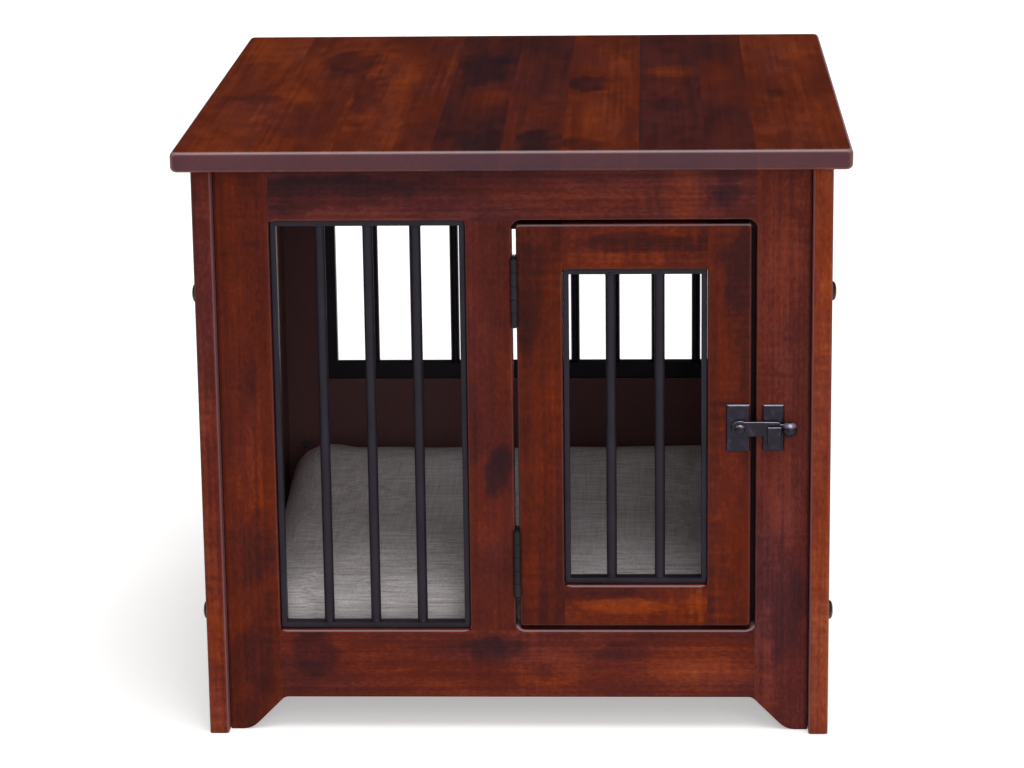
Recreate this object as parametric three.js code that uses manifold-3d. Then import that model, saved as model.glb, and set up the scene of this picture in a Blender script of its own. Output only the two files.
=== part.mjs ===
// Dog crate end table: a solid maple case with barred windows, a hinged barred door with a
// drop-bar latch, and a loose woven cushion. Millimetres, +Z up, front facing -Y, origin at
// the centre of the footprint on the floor.
import * as THREE from 'three';
import { mergeVertices } from 'three/addons/utils/BufferGeometryUtils.js';
import Module from 'manifold-3d';

const wasm = await Module();
wasm.setup();

// ---- Driving dimensions -------------------------------------------------------------------

const GAP = 0.3; // left between pieces that touch

// overall
const TABLE_HEIGHT = 558.8;
const TOP_WIDTH = 613;
const TOP_DEPTH = 661;
const TOP_THICKNESS = 19.3;
const TOP_EDGE_RADIUS = 5;
const TOP_CORNER_RADIUS = 7;
const CASE_WIDTH = 580;
const CASE_DEPTH = 630;

// boards
const SIDE_THICKNESS = 18;
const FRAME_THICKNESS = 19;
const FRAME_SETBACK = 13; // side boards stand proud of the front and back frames
const BOARD_EDGE_RADIUS = 3;
const ROUND_OVER = 3.2; // routed round the openings and the door
const ROUND_OVER_CORNER = 6; // radius of the bit's bearing
const ROUND_OVER_STEPS = 4;
const BACK_EASE = 1.2;

// front frame
const STILE_WIDTH = 50;
const CENTRE_STILE_LEFT = -43.4;
const CENTRE_STILE_RIGHT = -0.8;
const OPENING_BOTTOM = 98;
const OPENING_TOP = 488.8;
const DOORWAY_CORNER = 8; // radius that the router leaves in the doorway's corners
const FOOT_HEIGHT = 32;
const FOOT_FILLET = 9;
const FOOT_TOE = 9; // rounding where a foot's slope meets the floor
const FRONT_FOOT_REACH = 38.5; // width of a foot on the floor, with the side board
const SIDE_FOOT_REACH = 60;
const TENON_LENGTH = 12;
const TENON_THICKNESS = 6.4;
const TENON_SHOULDER = 8;

// back frame
const BACK_OPENING_BOTTOM = 188.6;
const BACK_STILE_WIDTH = 37.3;

// door
const DOOR_LEFT = 3;
const DOOR_RIGHT = 217.2;
const DOOR_BOTTOM = 101.8;
const DOOR_TOP = 485.2;
const DOOR_HINGE_STILE = 42;
const DOOR_LATCH_STILE = 39.8;
const DOOR_RAIL_BOTTOM = 40;
const DOOR_RAIL_TOP = 42.3;

// strip behind the top rail that the closed door stops against
const STOP = { left: -20, right: 230, bottom: 477, top: 506, thickness: 12 };

// steel grilles: welded flat-bar frames with round rods
const FLAT_BAR = 5.3;
const BACK_FLAT_BAR = 18;
const GRILLE_DEPTH = 12.7;
const GRILLE_BACKSET = 0.7; // from the inner face of the wood
const ROD_DIAMETER = 9.5;
const WINDOW_RODS = 3;
const WINDOW_ROD_PITCH = 43.8;
const DOOR_RODS = 2;
const DOOR_ROD_PITCH = 44.7;
const BACK_RODS = 9;
const BACK_ROD_PITCH = 43.7;

// floor and cleats
const FLOOR_TOP = 65;
const FLOOR_THICKNESS = 12;
const CLEAT = 18;
const CLEAT_SETBACK = 45;

// cushion
const CUSHION_WIDTH = 524;
const CUSHION_LENGTH = 546;
const CUSHION_HEIGHT = 69;
const CUSHION_SIDE = 46; // height of the soft sides, below the crown
const CUSHION_CORNER = 52;
const CUSHION_DRAW = 5; // how far each side draws in between its corners

// connector bolts with barrel nuts
const BOLT_HEIGHTS = [115.2, 420.5];
const BOLT_SHANK = 6;
const BOLT_LENGTH = 42;
const BOLT_HEAD = 17.5;
const BOLT_HEAD_RISE = 4.4;
const BOLT_SOCKET = 5;
const BOLT_CLEARANCE = 0.35;
const NUT_DIAMETER = 9.6;
const NUT_LENGTH = 14;
const NUT_INSET = 18; // barrel nut's axis, from the edge of the stile

// butt hinges
const HINGE_LENGTH = 63.5;
const HINGE_HEIGHTS = [163.5, 422.3];
const HINGE_LEAF = 1.4;
const HINGE_LEAF_REACH = 15.5;
const HINGE_BARREL = 6.4;
const HINGE_PIN = 3;
const HINGE_PROUD = 2; // pin axis, in front of the frame
const HINGE_BUTTON = 1.2; // height of a pin's head
const HINGE_KNUCKLES = 5;
const HINGE_SCREWS = 3;

// drop-bar latch
const PLATE_THICKNESS = 2.5;
const PLATE_BEVEL = 1.3;
const DOOR_PLATE = { x: 205.4, z: 294, width: 22, height: 45 };
const KEEPER_PLATE = { x: 237.6, z: 294.4, width: 20, height: 44 };
const LATCH_PIVOT = { x: 207, z: 294 };
const LATCH_BAR_THICKNESS = 3.9;
const LATCH_EYE_RADIUS = 8;
const LATCH_BAR_HEIGHT = 14;
const LATCH_NECK_HEIGHT = 8;
const KNOB = { x: 252.4, z: 295, radius: 7, out: 10.2 };
const HOOK = { left: 232, right: 245, bottom: 274.4, top: 297, lip: 3 };
const RIVET_SHANK = 4.8;
const RIVET_HEAD = 9.6;
const RIVET_RISE = 2.8;

// ---- Derived places -------------------------------------------------------------------------

const caseBack = CASE_DEPTH / 2;
const frontFace = -CASE_DEPTH / 2 + FRAME_SETBACK;
const frontInner = frontFace + FRAME_THICKNESS;
const backFace = caseBack - FRAME_SETBACK;
const backInner = backFace - FRAME_THICKNESS;
const caseSide = CASE_WIDTH / 2;
const sideInner = caseSide - SIDE_THICKNESS;
const frameEdge = sideInner - GAP;
const topUnderside = TABLE_HEIGHT - TOP_THICKNESS;
const frameTop = topUnderside - GAP;
const stileInner = frameEdge - STILE_WIDTH;
const backStileInner = frameEdge - BACK_STILE_WIDTH;
const tenonMiddle = FRAME_THICKNESS / 2;
const plateFace = frontFace - GAP - PLATE_THICKNESS;
const hingeAxis = { x: (CENTRE_STILE_RIGHT + DOOR_LEFT) / 2, y: frontFace - HINGE_PROUD };

// ---- Finishes -------------------------------------------------------------------------------

const finish = (color, roughness, metalness) =>
  new THREE.MeshStandardMaterial({ color, roughness, metalness });
const stainedMaple = finish('#5a2414', 0.35, 0);
const doorMaple = finish('#703018', 0.35, 0);
const plywood = finish('#6b4a30', 0.7, 0);
const blackSteel = finish('#26242a', 0.5, 0.6);
const ironLatch = finish('#2c2a2c', 0.55, 0.8);
const bronzeSteel = finish('#3a2c22', 0.4, 0.8);
const zincSteel = finish('#9a9a98', 0.4, 0.9);
const wovenFabric = finish('#85807c', 0.95, 0);

// ---- Solids ---------------------------------------------------------------------------------

/** A manifold-3d solid from a closed three.js geometry. */
function solid(geometry) {
  const bare = geometry.clone();
  bare.deleteAttribute('normal');
  bare.deleteAttribute('uv');
  const merged = mergeVertices(bare, 1e-4);
  const mesh = new wasm.Mesh({
    numProp: 3,
    vertProperties: new Float32Array(merged.attributes.position.array),
    triVerts: new Uint32Array(merged.index.array),
  });
  return new wasm.Manifold(mesh);
}

/** The geometry of a manifold-3d solid. */
function geometryOf(body) {
  const mesh = body.getMesh();
  const geometry = new THREE.BufferGeometry();
  geometry.setAttribute('position', new THREE.BufferAttribute(mesh.vertProperties, 3));
  geometry.setIndex(new THREE.BufferAttribute(mesh.triVerts, 1));
  geometry.computeVertexNormals();
  return geometry;
}

const join = (...bodies) => bodies.reduce((whole, body) => whole.add(body));
const cut = (body, ...cutters) => cutters.reduce((rest, cutter) => rest.subtract(cutter), body);

/** A box between two opposite corners. */
function block([x0, y0, z0], [x1, y1, z1]) {
  const geometry = new THREE.BoxGeometry(x1 - x0, y1 - y0, z1 - z0);
  return solid(geometry.translate((x0 + x1) / 2, (y0 + y1) / 2, (z0 + z1) / 2));
}

/** A cylinder between two points on a line along X, Y or Z. */
function rod(axis, radius, from, to, sides = 16) {
  const start = new THREE.Vector3(...from);
  const end = new THREE.Vector3(...to);
  const geometry = new THREE.CylinderGeometry(radius, radius, start.distanceTo(end), sides);
  if (axis === 'x') geometry.rotateZ(-Math.PI / 2);
  if (axis === 'z') geometry.rotateX(Math.PI / 2);
  const middle = start.add(end).multiplyScalar(0.5);
  return solid(geometry.translate(middle.x, middle.y, middle.z));
}

/** An outline in X and Z, carried along Y. */
function extrudeAlongY(shape, y0, y1, curveSegments = 6) {
  const geometry = new THREE.ExtrudeGeometry(shape, {
    depth: y1 - y0, bevelEnabled: false, curveSegments,
  });
  return solid(geometry.rotateX(Math.PI / 2).translate(0, y1, 0));
}

/** An outline in Y and Z, carried along X. */
function extrudeAlongX(shape, x0, x1, curveSegments = 6) {
  const geometry = new THREE.ExtrudeGeometry(shape, {
    depth: x1 - x0, bevelEnabled: false, curveSegments,
  });
  const turn = new THREE.Matrix4().makeBasis(
    new THREE.Vector3(0, 1, 0), new THREE.Vector3(0, 0, 1), new THREE.Vector3(1, 0, 0),
  );
  return solid(geometry.applyMatrix4(turn).translate(x0, 0, 0));
}

/** An outline in X and Y, carried along Z. */
function extrudeAlongZ(shape, z0, z1, curveSegments = 6) {
  const geometry = new THREE.ExtrudeGeometry(shape, {
    depth: z1 - z0, bevelEnabled: false, curveSegments,
  });
  return solid(geometry.translate(0, 0, z0));
}

/** Points of a rectangle with rounded corners, centred on zero. */
function roundedRectangle(width, height, radius, cornerSteps = 4) {
  const points = [];
  const centres = [[1, 1], [-1, 1], [-1, -1], [1, -1]];
  centres.forEach(([sx, sy], corner) => {
    for (let step = 0; step <= cornerSteps; step += 1) {
      const angle = (corner + step / cornerSteps) * Math.PI / 2;
      points.push([
        sx * (width / 2 - radius) + radius * Math.cos(angle),
        sy * (height / 2 - radius) + radius * Math.sin(angle),
      ]);
    }
  });
  return points;
}

/** A closed skin through rings of equally many points, with a flat cap on each end. */
function loftGeometry(rings) {
  const count = rings[0].length;
  const positions = rings.flat(2);
  const faces = [];
  for (let ring = 0; ring + 1 < rings.length; ring += 1) {
    for (let point = 0; point < count; point += 1) {
      const next = (point + 1) % count;
      const a = ring * count + point;
      const b = ring * count + next;
      faces.push(a, b, b + count, a, b + count, a + count);
    }
  }
  const last = (rings.length - 1) * count;
  for (let point = 1; point + 1 < count; point += 1) {
    faces.push(0, point + 1, point);
    faces.push(last, last + point, last + point + 1);
  }
  const geometry = new THREE.BufferGeometry();
  geometry.setAttribute('position', new THREE.Float32BufferAttribute(positions, 3));
  geometry.setIndex(faces);
  return geometry;
}

/** Steps round the quarter circle of a rounded arris: in from the side, and down from the face. */
function quarterRound(radius, steps) {
  return Array.from({ length: steps + 1 }, (_, step) => {
    const angle = (step / steps) * Math.PI / 2;
    return { inset: radius * (1 - Math.sin(angle)), drop: radius * (1 - Math.cos(angle)) };
  });
}

/**
 * The tool path of a rounding-over bit round an opening: a through hole that flares out to
 * the face at faceY. inward is +1 where the wood lies on the +Y side of that face.
 */
function roundOverCutter(opening, faceY, inward, radius) {
  const centreX = (opening.left + opening.right) / 2;
  const centreZ = (opening.bottom + opening.top) / 2;
  const width = opening.right - opening.left;
  const height = opening.top - opening.bottom;
  const corner = opening.corner ?? ROUND_OVER_CORNER;
  const ring = (offset, depth) => roundedRectangle(
    width + 2 * offset, height + 2 * offset, corner + offset, 3,
  ).map(([x, z]) => [centreX + x, faceY + inward * depth, centreZ + z]);
  // narrow where the flare leaves the wall, and widest at the face
  const flare = quarterRound(radius, ROUND_OVER_STEPS).map(({ inset, drop }) => ring(drop, inset));
  const rings = [ring(0, radius + 1), ...flare, ring(radius, -1)];
  return solid(loftGeometry(inward > 0 ? rings : rings.reverse()));
}

/** The straight hole through the wood, square unless the opening gives a corner radius. */
function throughHole(opening, y0, y1) {
  const { left, right, bottom, top, corner } = opening;
  if (!corner) return block([left, y0 - 1, bottom], [right, y1 + 1, top]);
  const centre = [(left + right) / 2, (bottom + top) / 2];
  const shape = new THREE.Shape(roundedRectangle(right - left, top - bottom, corner, 3)
    .map(([x, z]) => new THREE.Vector2(centre[0] + x, centre[1] + z)));
  return extrudeAlongY(shape, y0 - 1, y1 + 1);
}

/** An opening with its front arris rounded over and its inner arris eased. */
function routedOpening(opening, outerY, innerY) {
  const inward = Math.sign(innerY - outerY);
  return join(
    throughHole(opening, Math.min(outerY, innerY), Math.max(outerY, innerY)),
    roundOverCutter(opening, outerY, inward, ROUND_OVER),
    roundOverCutter(opening, innerY, -inward, BACK_EASE),
  );
}

/** The waste along a straight arris, outside its rounding, for an edge that runs along Z. */
function arrisWaste(x, y, outX, outY, radius) {
  const over = 1;
  const shape = new THREE.Shape();
  shape.moveTo(x - outX * radius, y + outY * over);
  shape.lineTo(x - outX * radius, y);
  quarterRound(radius, ROUND_OVER_STEPS).forEach(({ inset, drop }) => {
    shape.lineTo(x - outX * inset, y - outY * drop);
  });
  shape.lineTo(x + outX * over, y - outY * radius);
  shape.lineTo(x + outX * over, y + outY * over);
  return extrudeAlongZ(shape, -1, TABLE_HEIGHT);
}

/** The space under a rail between two feet: 45 degree cuts, filleted above and eased at the toe. */
function footArch(half) {
  const over = 1;
  const tangent = FOOT_FILLET * Math.tan(Math.PI / 8);
  const slant = tangent * Math.SQRT1_2;
  const toe = FOOT_TOE * Math.SQRT1_2;
  const corner = half - FOOT_HEIGHT;
  const shape = new THREE.Shape();
  shape.moveTo(-half - FOOT_TOE, -over);
  shape.lineTo(-half - FOOT_TOE, 0);
  shape.quadraticCurveTo(-half, 0, -half + toe, toe);
  shape.lineTo(-corner - slant, FOOT_HEIGHT - slant);
  shape.quadraticCurveTo(-corner, FOOT_HEIGHT, -corner + tangent, FOOT_HEIGHT);
  shape.lineTo(corner - tangent, FOOT_HEIGHT);
  shape.quadraticCurveTo(corner, FOOT_HEIGHT, corner + slant, FOOT_HEIGHT - slant);
  shape.lineTo(half - toe, toe);
  shape.quadraticCurveTo(half, 0, half + FOOT_TOE, 0);
  shape.lineTo(half + FOOT_TOE, -over);
  return shape;
}

/** A stub tenon, or with clear > 0 the mortise that takes it. */
function tenonBlock(from, to, faceY, clear = 0) {
  const middle = faceY + tenonMiddle;
  return block(
    [from[0] - clear, middle - TENON_THICKNESS / 2 - clear, from[1] - clear],
    [to[0] + clear, middle + TENON_THICKNESS / 2 + clear, to[1] + clear],
  );
}

// ---- Assembly -------------------------------------------------------------------------------

const assembly = new THREE.Group();

function addPiece(name, body, material) {
  const mesh = new THREE.Mesh(geometryOf(body), material);
  mesh.name = name;
  assembly.add(mesh);
}

// ---- Tabletop: an edge-glued maple slab with rounded edges ----------------------------------

function tabletop() {
  const ring = (inset, z) => roundedRectangle(
    TOP_WIDTH - 2 * inset, TOP_DEPTH - 2 * inset, TOP_CORNER_RADIUS - inset, 5,
  ).map(([x, y]) => [x, y, z]);
  const edge = quarterRound(TOP_EDGE_RADIUS, 5);
  const lower = edge.map(({ inset, drop }) => ring(inset, topUnderside + drop));
  const upper = edge.map(({ inset, drop }) => ring(inset, TABLE_HEIGHT - drop));
  return solid(loftGeometry([...lower, ...upper.reverse()]));
}
addPiece('tabletop', tabletop(), stainedMaple);

// ---- Side boards, which run to the floor ----------------------------------------------------

/** Clearance holes for the connector bolts, through a side board and into a stile. */
function boltHoles(side, y, depth) {
  const radius = BOLT_SHANK / 2 + BOLT_CLEARANCE;
  return BOLT_HEIGHTS.map((z) => {
    const ends = [side * (caseSide + 1), side * (caseSide - depth)].sort((a, b) => a - b);
    return rod('x', radius, [ends[0], y, z], [ends[1], y, z]);
  });
}

const frontBoltY = frontFace + FRAME_THICKNESS / 2;
const backBoltY = backFace - FRAME_THICKNESS / 2;

function sidePanel(side) {
  const plan = new THREE.Shape(
    roundedRectangle(SIDE_THICKNESS, CASE_DEPTH, BOARD_EDGE_RADIUS, 5)
      .map(([x, y]) => new THREE.Vector2(side * (caseSide - SIDE_THICKNESS / 2) + x, y)),
  );
  const board = extrudeAlongZ(plan, 0, frameTop);
  const arch = extrudeAlongX(
    footArch(CASE_DEPTH / 2 - SIDE_FOOT_REACH),
    Math.min(side * (caseSide + 1), side * (sideInner - 1)),
    Math.max(side * (caseSide + 1), side * (sideInner - 1)),
  );
  return cut(
    board, arch,
    ...boltHoles(side, frontBoltY, SIDE_THICKNESS + 1),
    ...boltHoles(side, backBoltY, SIDE_THICKNESS + 1),
  );
}
addPiece('side_panel_left', sidePanel(-1), stainedMaple);
addPiece('side_panel_right', sidePanel(1), stainedMaple);

// ---- Front and back frames ------------------------------------------------------------------

const frontWindow = {
  left: -stileInner, right: CENTRE_STILE_LEFT, bottom: OPENING_BOTTOM, top: OPENING_TOP,
};
const doorway = {
  left: CENTRE_STILE_RIGHT, right: stileInner, bottom: OPENING_BOTTOM, top: OPENING_TOP,
  corner: DOORWAY_CORNER,
};
const backWindow = {
  left: -backStileInner, right: backStileInner, bottom: BACK_OPENING_BOTTOM, top: OPENING_TOP,
};
const feetCut = footArch(caseSide - FRONT_FOOT_REACH);

/** Bolt bores and the cross holes of the barrel nuts, bored from the inner face. */
function stileBores(side, y, innerFace) {
  const nutX = side * (frameEdge - NUT_INSET);
  const inward = Math.sign(innerFace - y);
  const seat = y - inward * (NUT_LENGTH / 2 + GAP);
  const ends = [seat, innerFace + inward].sort((a, b) => a - b);
  const nutBores = BOLT_HEIGHTS.map((z) => (
    rod('y', NUT_DIAMETER / 2 + GAP, [nutX, ends[0], z], [nutX, ends[1], z])
  ));
  return [...nutBores, ...boltHoles(side, y, BOLT_LENGTH + 1)];
}

/** Tenon heights of a rail that runs from z0 to z1. */
const shoulders = (z0, z1) => [z0 + TENON_SHOULDER, z1 - TENON_SHOULDER];

/** Mortises in a stile's inner edge for the rails that meet it. */
function stileMortises(side, innerX, faceY, rails) {
  return rails.map(([z0, z1]) => {
    const [low, high] = shoulders(z0, z1);
    const xs = [side * innerX, side * (innerX + TENON_LENGTH)].sort((a, b) => a - b);
    return tenonBlock([xs[0], low], [xs[1], high], faceY, GAP);
  });
}

/** An outer stile of the front or back frame, from the floor to the tabletop. */
function outerStile(side, innerX, y0, y1, rails, opening, outerFace, innerFace) {
  const xs = [side * innerX, side * frameEdge].sort((a, b) => a - b);
  const outY = Math.sign(outerFace - innerFace);
  return cut(
    block([xs[0], y0, 0], [xs[1], y1, frameTop]),
    extrudeAlongY(feetCut, y0 - 1, y1 + 1),
    arrisWaste(side * frameEdge, outerFace, side, outY, BOARD_EDGE_RADIUS - 0.5),
    routedOpening(opening, outerFace, innerFace),
    ...stileMortises(side, innerX, y0, rails),
    ...stileBores(side, (y0 + y1) / 2, innerFace),
  );
}

/** A rail between two outer stiles, with a stub tenon on each end. more widens its blank. */
function rail(innerX, z0, z1, y0, y1, cutters, more = [0, 0]) {
  const end = innerX - GAP;
  const [low, high] = shoulders(Math.max(z0, FOOT_HEIGHT), z1);
  const body = join(
    block([-end, y0, z0 + more[0]], [end, y1, z1 + more[1]]),
    tenonBlock([-end - TENON_LENGTH, low], [end + TENON_LENGTH, high], y0),
  );
  return cut(body, ...cutters);
}

const topRailSpan = [OPENING_TOP, frameTop];
const frontRailSpan = [FOOT_HEIGHT, OPENING_BOTTOM];
const backPanelSpan = [FOOT_HEIGHT, BACK_OPENING_BOTTOM];
const belowFoot = FOOT_HEIGHT - 3; // blank left for the fillets of the foot cuts

[[-1, 'front_stile_left', frontWindow], [1, 'front_stile_right', doorway]]
  .forEach(([side, name, opening]) => {
    const body = outerStile(
      side, stileInner, frontFace, frontInner, [frontRailSpan, topRailSpan],
      opening, frontFace, frontInner,
    );
    addPiece(name, body, stainedMaple);
  });

/** Slots in the front rails for the centre stile's tenons. */
function centreTenons(clear) {
  const low = [CENTRE_STILE_LEFT + TENON_SHOULDER, OPENING_BOTTOM - TENON_LENGTH];
  const high = [CENTRE_STILE_RIGHT - TENON_SHOULDER, OPENING_TOP + TENON_LENGTH];
  return tenonBlock(low, high, frontFace, clear);
}

// the rails' blanks reach into the openings, so that wood is left in the doorway's corners
const frontCutters = [
  routedOpening(frontWindow, frontFace, frontInner),
  routedOpening(doorway, frontFace, frontInner),
  centreTenons(GAP),
  block(
    [CENTRE_STILE_LEFT - GAP, frontFace - 1, OPENING_BOTTOM],
    [CENTRE_STILE_RIGHT + GAP, frontInner + 1, OPENING_TOP],
  ),
];
addPiece(
  'front_top_rail',
  rail(stileInner, ...topRailSpan, frontFace, frontInner, frontCutters, [-DOORWAY_CORNER, 0]),
  stainedMaple,
);
addPiece(
  'front_bottom_rail',
  rail(stileInner, belowFoot, OPENING_BOTTOM, frontFace, frontInner, [
    ...frontCutters, extrudeAlongY(feetCut, frontFace - 1, frontInner + 1),
  ], [0, DOORWAY_CORNER]),
  stainedMaple,
);

function centreStile() {
  const blank = block(
    [CENTRE_STILE_LEFT, frontFace, OPENING_BOTTOM + GAP],
    [CENTRE_STILE_RIGHT, frontInner, OPENING_TOP - GAP],
  );
  return cut(
    join(blank, centreTenons(0)),
    routedOpening(frontWindow, frontFace, frontInner),
    routedOpening(doorway, frontFace, frontInner),
  );
}
addPiece('front_stile_centre', centreStile(), stainedMaple);

addPiece('door_stop', block(
  [STOP.left, frontInner + GAP, STOP.bottom],
  [STOP.right, frontInner + GAP + STOP.thickness, STOP.top],
), stainedMaple);

[[-1, 'back_stile_left'], [1, 'back_stile_right']].forEach(([side, name]) => {
  const body = outerStile(
    side, backStileInner, backInner, backFace, [backPanelSpan, topRailSpan],
    backWindow, backFace, backInner,
  );
  addPiece(name, body, stainedMaple);
});

const backCutters = [routedOpening(backWindow, backFace, backInner)];
addPiece(
  'back_top_rail',
  rail(backStileInner, ...topRailSpan, backInner, backFace, backCutters),
  stainedMaple,
);
addPiece(
  'back_lower_panel',
  rail(backStileInner, belowFoot, BACK_OPENING_BOTTOM, backInner, backFace, [
    ...backCutters, extrudeAlongY(feetCut, backInner - 1, backFace + 1),
  ]),
  stainedMaple,
);

// ---- Connector bolts and their barrel nuts --------------------------------------------------

/** A low domed head with a hexagon socket, on a plain shank. */
function connectorBolt(side, y, z) {
  const headRadius = BOLT_HEAD / 2;
  const profile = [[0, 0], [headRadius, 0], [headRadius, 1]];
  const domeSteps = 5;
  for (let step = 1; step <= domeSteps; step += 1) {
    const angle = (step / domeSteps) * Math.PI / 2;
    const rise = 1 + (BOLT_HEAD_RISE - 1) * Math.sin(angle);
    profile.push([headRadius * Math.cos(angle) ** 0.75, rise]);
  }
  profile[profile.length - 1][0] = 0;
  const head = solid(new THREE.LatheGeometry(
    profile.map(([radius, height]) => new THREE.Vector2(radius, height)), 18,
  ).rotateZ(-Math.PI / 2));
  const socket = rod('x', BOLT_SOCKET / Math.sqrt(3), [BOLT_HEAD_RISE - 3, 0, 0], [6, 0, 0], 6);
  const shank = rod('x', BOLT_SHANK / 2, [-BOLT_LENGTH + 0.5, 0, 0], [0.5, 0, 0], 14);
  return cut(join(head, shank), socket)
    .rotate([0, 0, side > 0 ? 0 : 180])
    .translate([side * (caseSide + GAP), y, z]);
}

/** A short cylinder across the stile, bored for the bolt. */
function barrelNut(side, y, z) {
  const x = side * (frameEdge - NUT_INSET);
  return cut(
    rod('y', NUT_DIAMETER / 2, [x, y - NUT_LENGTH / 2, z], [x, y + NUT_LENGTH / 2, z]),
    rod('x', BOLT_SHANK / 2 + BOLT_CLEARANCE, [x - NUT_DIAMETER, y, z], [x + NUT_DIAMETER, y, z]),
  );
}

[['front', frontBoltY], ['back', backBoltY]].forEach(([end, y]) => {
  [['left', -1], ['right', 1]].forEach(([hand, side]) => {
    BOLT_HEIGHTS.forEach((z, level) => {
      const place = `${end}_${hand}_${['lower', 'upper'][level]}`;
      addPiece(`side_bolt_${place}`, connectorBolt(side, y, z), bronzeSteel);
      addPiece(`barrel_nut_${place}`, barrelNut(side, y, z), zincSteel);
    });
  });
});

// ---- Floor, cleats --------------------------------------------------------------------------

addPiece('floor_panel', block(
  [-sideInner + GAP, frontInner + GAP, FLOOR_TOP - FLOOR_THICKNESS],
  [sideInner - GAP, backInner - GAP, FLOOR_TOP],
), plywood);

/** A square strip along a side board's inner face, below the given height. */
function cleat(side, top) {
  const xs = [side * (sideInner - GAP), side * (sideInner - GAP - CLEAT)].sort((a, b) => a - b);
  return block(
    [xs[0], frontInner + CLEAT_SETBACK, top - CLEAT],
    [xs[1], backInner - CLEAT_SETBACK, top],
  );
}
[['left', -1], ['right', 1]].forEach(([hand, side]) => {
  addPiece(`floor_cleat_${hand}`, cleat(side, FLOOR_TOP - FLOOR_THICKNESS - GAP), stainedMaple);
  addPiece(`top_cleat_${hand}`, cleat(side, topUnderside - GAP), stainedMaple);
});

// ---- Grilles --------------------------------------------------------------------------------

/** A welded grille: a flat-bar frame that fits the opening, with upright round rods. */
function grille(opening, barWidth, y0, rodCount, rodPitch) {
  const y1 = y0 + GRILLE_DEPTH;
  const middle = (opening.left + opening.right) / 2;
  const frame = cut(
    block(
      [opening.left + GAP, y0, opening.bottom + GAP],
      [opening.right - GAP, y1, opening.top - GAP],
    ),
    block(
      [opening.left + barWidth, y0 - 1, opening.bottom + barWidth],
      [opening.right - barWidth, y1 + 1, opening.top - barWidth],
    ),
  );
  const rods = Array.from({ length: rodCount }, (_, index) => {
    const x = middle + (index - (rodCount - 1) / 2) * rodPitch;
    const y = (y0 + y1) / 2;
    const bite = barWidth / 2;
    return rod('z', ROD_DIAMETER / 2, [x, y, opening.bottom + bite], [x, y, opening.top - bite], 12);
  });
  return join(frame, ...rods);
}

const frontGrilleY = frontInner - GRILLE_BACKSET - GRILLE_DEPTH;
const doorWindow = {
  left: DOOR_LEFT + DOOR_HINGE_STILE,
  right: DOOR_RIGHT - DOOR_LATCH_STILE,
  bottom: DOOR_BOTTOM + DOOR_RAIL_BOTTOM,
  top: DOOR_TOP - DOOR_RAIL_TOP,
};
addPiece(
  'window_grille',
  grille(frontWindow, FLAT_BAR, frontGrilleY, WINDOW_RODS, WINDOW_ROD_PITCH),
  blackSteel,
);
addPiece(
  'door_grille',
  grille(doorWindow, FLAT_BAR, frontGrilleY, DOOR_RODS, DOOR_ROD_PITCH),
  blackSteel,
);
addPiece(
  'back_grille',
  grille(backWindow, BACK_FLAT_BAR, backInner + GRILLE_BACKSET, BACK_RODS, BACK_ROD_PITCH),
  blackSteel,
);

// ---- Door -----------------------------------------------------------------------------------

/** The door's outer form: a slab with its front arris rounded over and its back one eased. */
function doorBlank() {
  const centreX = (DOOR_LEFT + DOOR_RIGHT) / 2;
  const centreZ = (DOOR_BOTTOM + DOOR_TOP) / 2;
  const ring = (inset, y) => roundedRectangle(
    DOOR_RIGHT - DOOR_LEFT - 2 * inset, DOOR_TOP - DOOR_BOTTOM - 2 * inset,
    ROUND_OVER + 0.5 - inset, 3,
  ).map(([x, z]) => [centreX + x, y, centreZ + z]);
  const front = quarterRound(ROUND_OVER, ROUND_OVER_STEPS)
    .map(({ inset, drop }) => ring(inset, frontFace + drop));
  const back = quarterRound(BACK_EASE, ROUND_OVER_STEPS)
    .map(({ inset, drop }) => ring(inset, frontInner - drop));
  return solid(loftGeometry([...back, ...front.reverse()]));
}

const doorShape = doorBlank();

/** A door piece: its share of the blank, less the routed window. */
function doorPiece([x0, z0], [x1, z1]) {
  const share = block([x0, frontFace - 1, z0], [x1, frontInner + 1, z1]);
  return doorShape.intersect(share).subtract(routedOpening(doorWindow, frontFace, frontInner));
}

const doorRails = {
  door_rail_bottom: [DOOR_BOTTOM, doorWindow.bottom],
  door_rail_top: [doorWindow.top, DOOR_TOP],
};
const doorMortises = Object.values(doorRails).map(([z0, z1]) => {
  const [low, high] = shoulders(z0, z1);
  return tenonBlock(
    [doorWindow.left - TENON_LENGTH, low], [doorWindow.right + TENON_LENGTH, high],
    frontFace, GAP,
  );
});
addPiece('door_stile_hinge', cut(
  doorPiece([DOOR_LEFT - 1, DOOR_BOTTOM - 1], [doorWindow.left, DOOR_TOP + 1]), ...doorMortises,
), doorMaple);
addPiece('door_stile_latch', cut(
  doorPiece([doorWindow.right, DOOR_BOTTOM - 1], [DOOR_RIGHT + 1, DOOR_TOP + 1]), ...doorMortises,
), doorMaple);
Object.entries(doorRails).forEach(([name, [z0, z1]]) => {
  const [low, high] = shoulders(z0, z1);
  const body = doorPiece([doorWindow.left + GAP, z0], [doorWindow.right - GAP, z1]);
  addPiece(name, join(body, tenonBlock(
    [doorWindow.left - TENON_LENGTH, low], [doorWindow.right + TENON_LENGTH, high], frontFace,
  )), doorMaple);
});

// ---- Butt hinges in the door gap ------------------------------------------------------------

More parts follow.
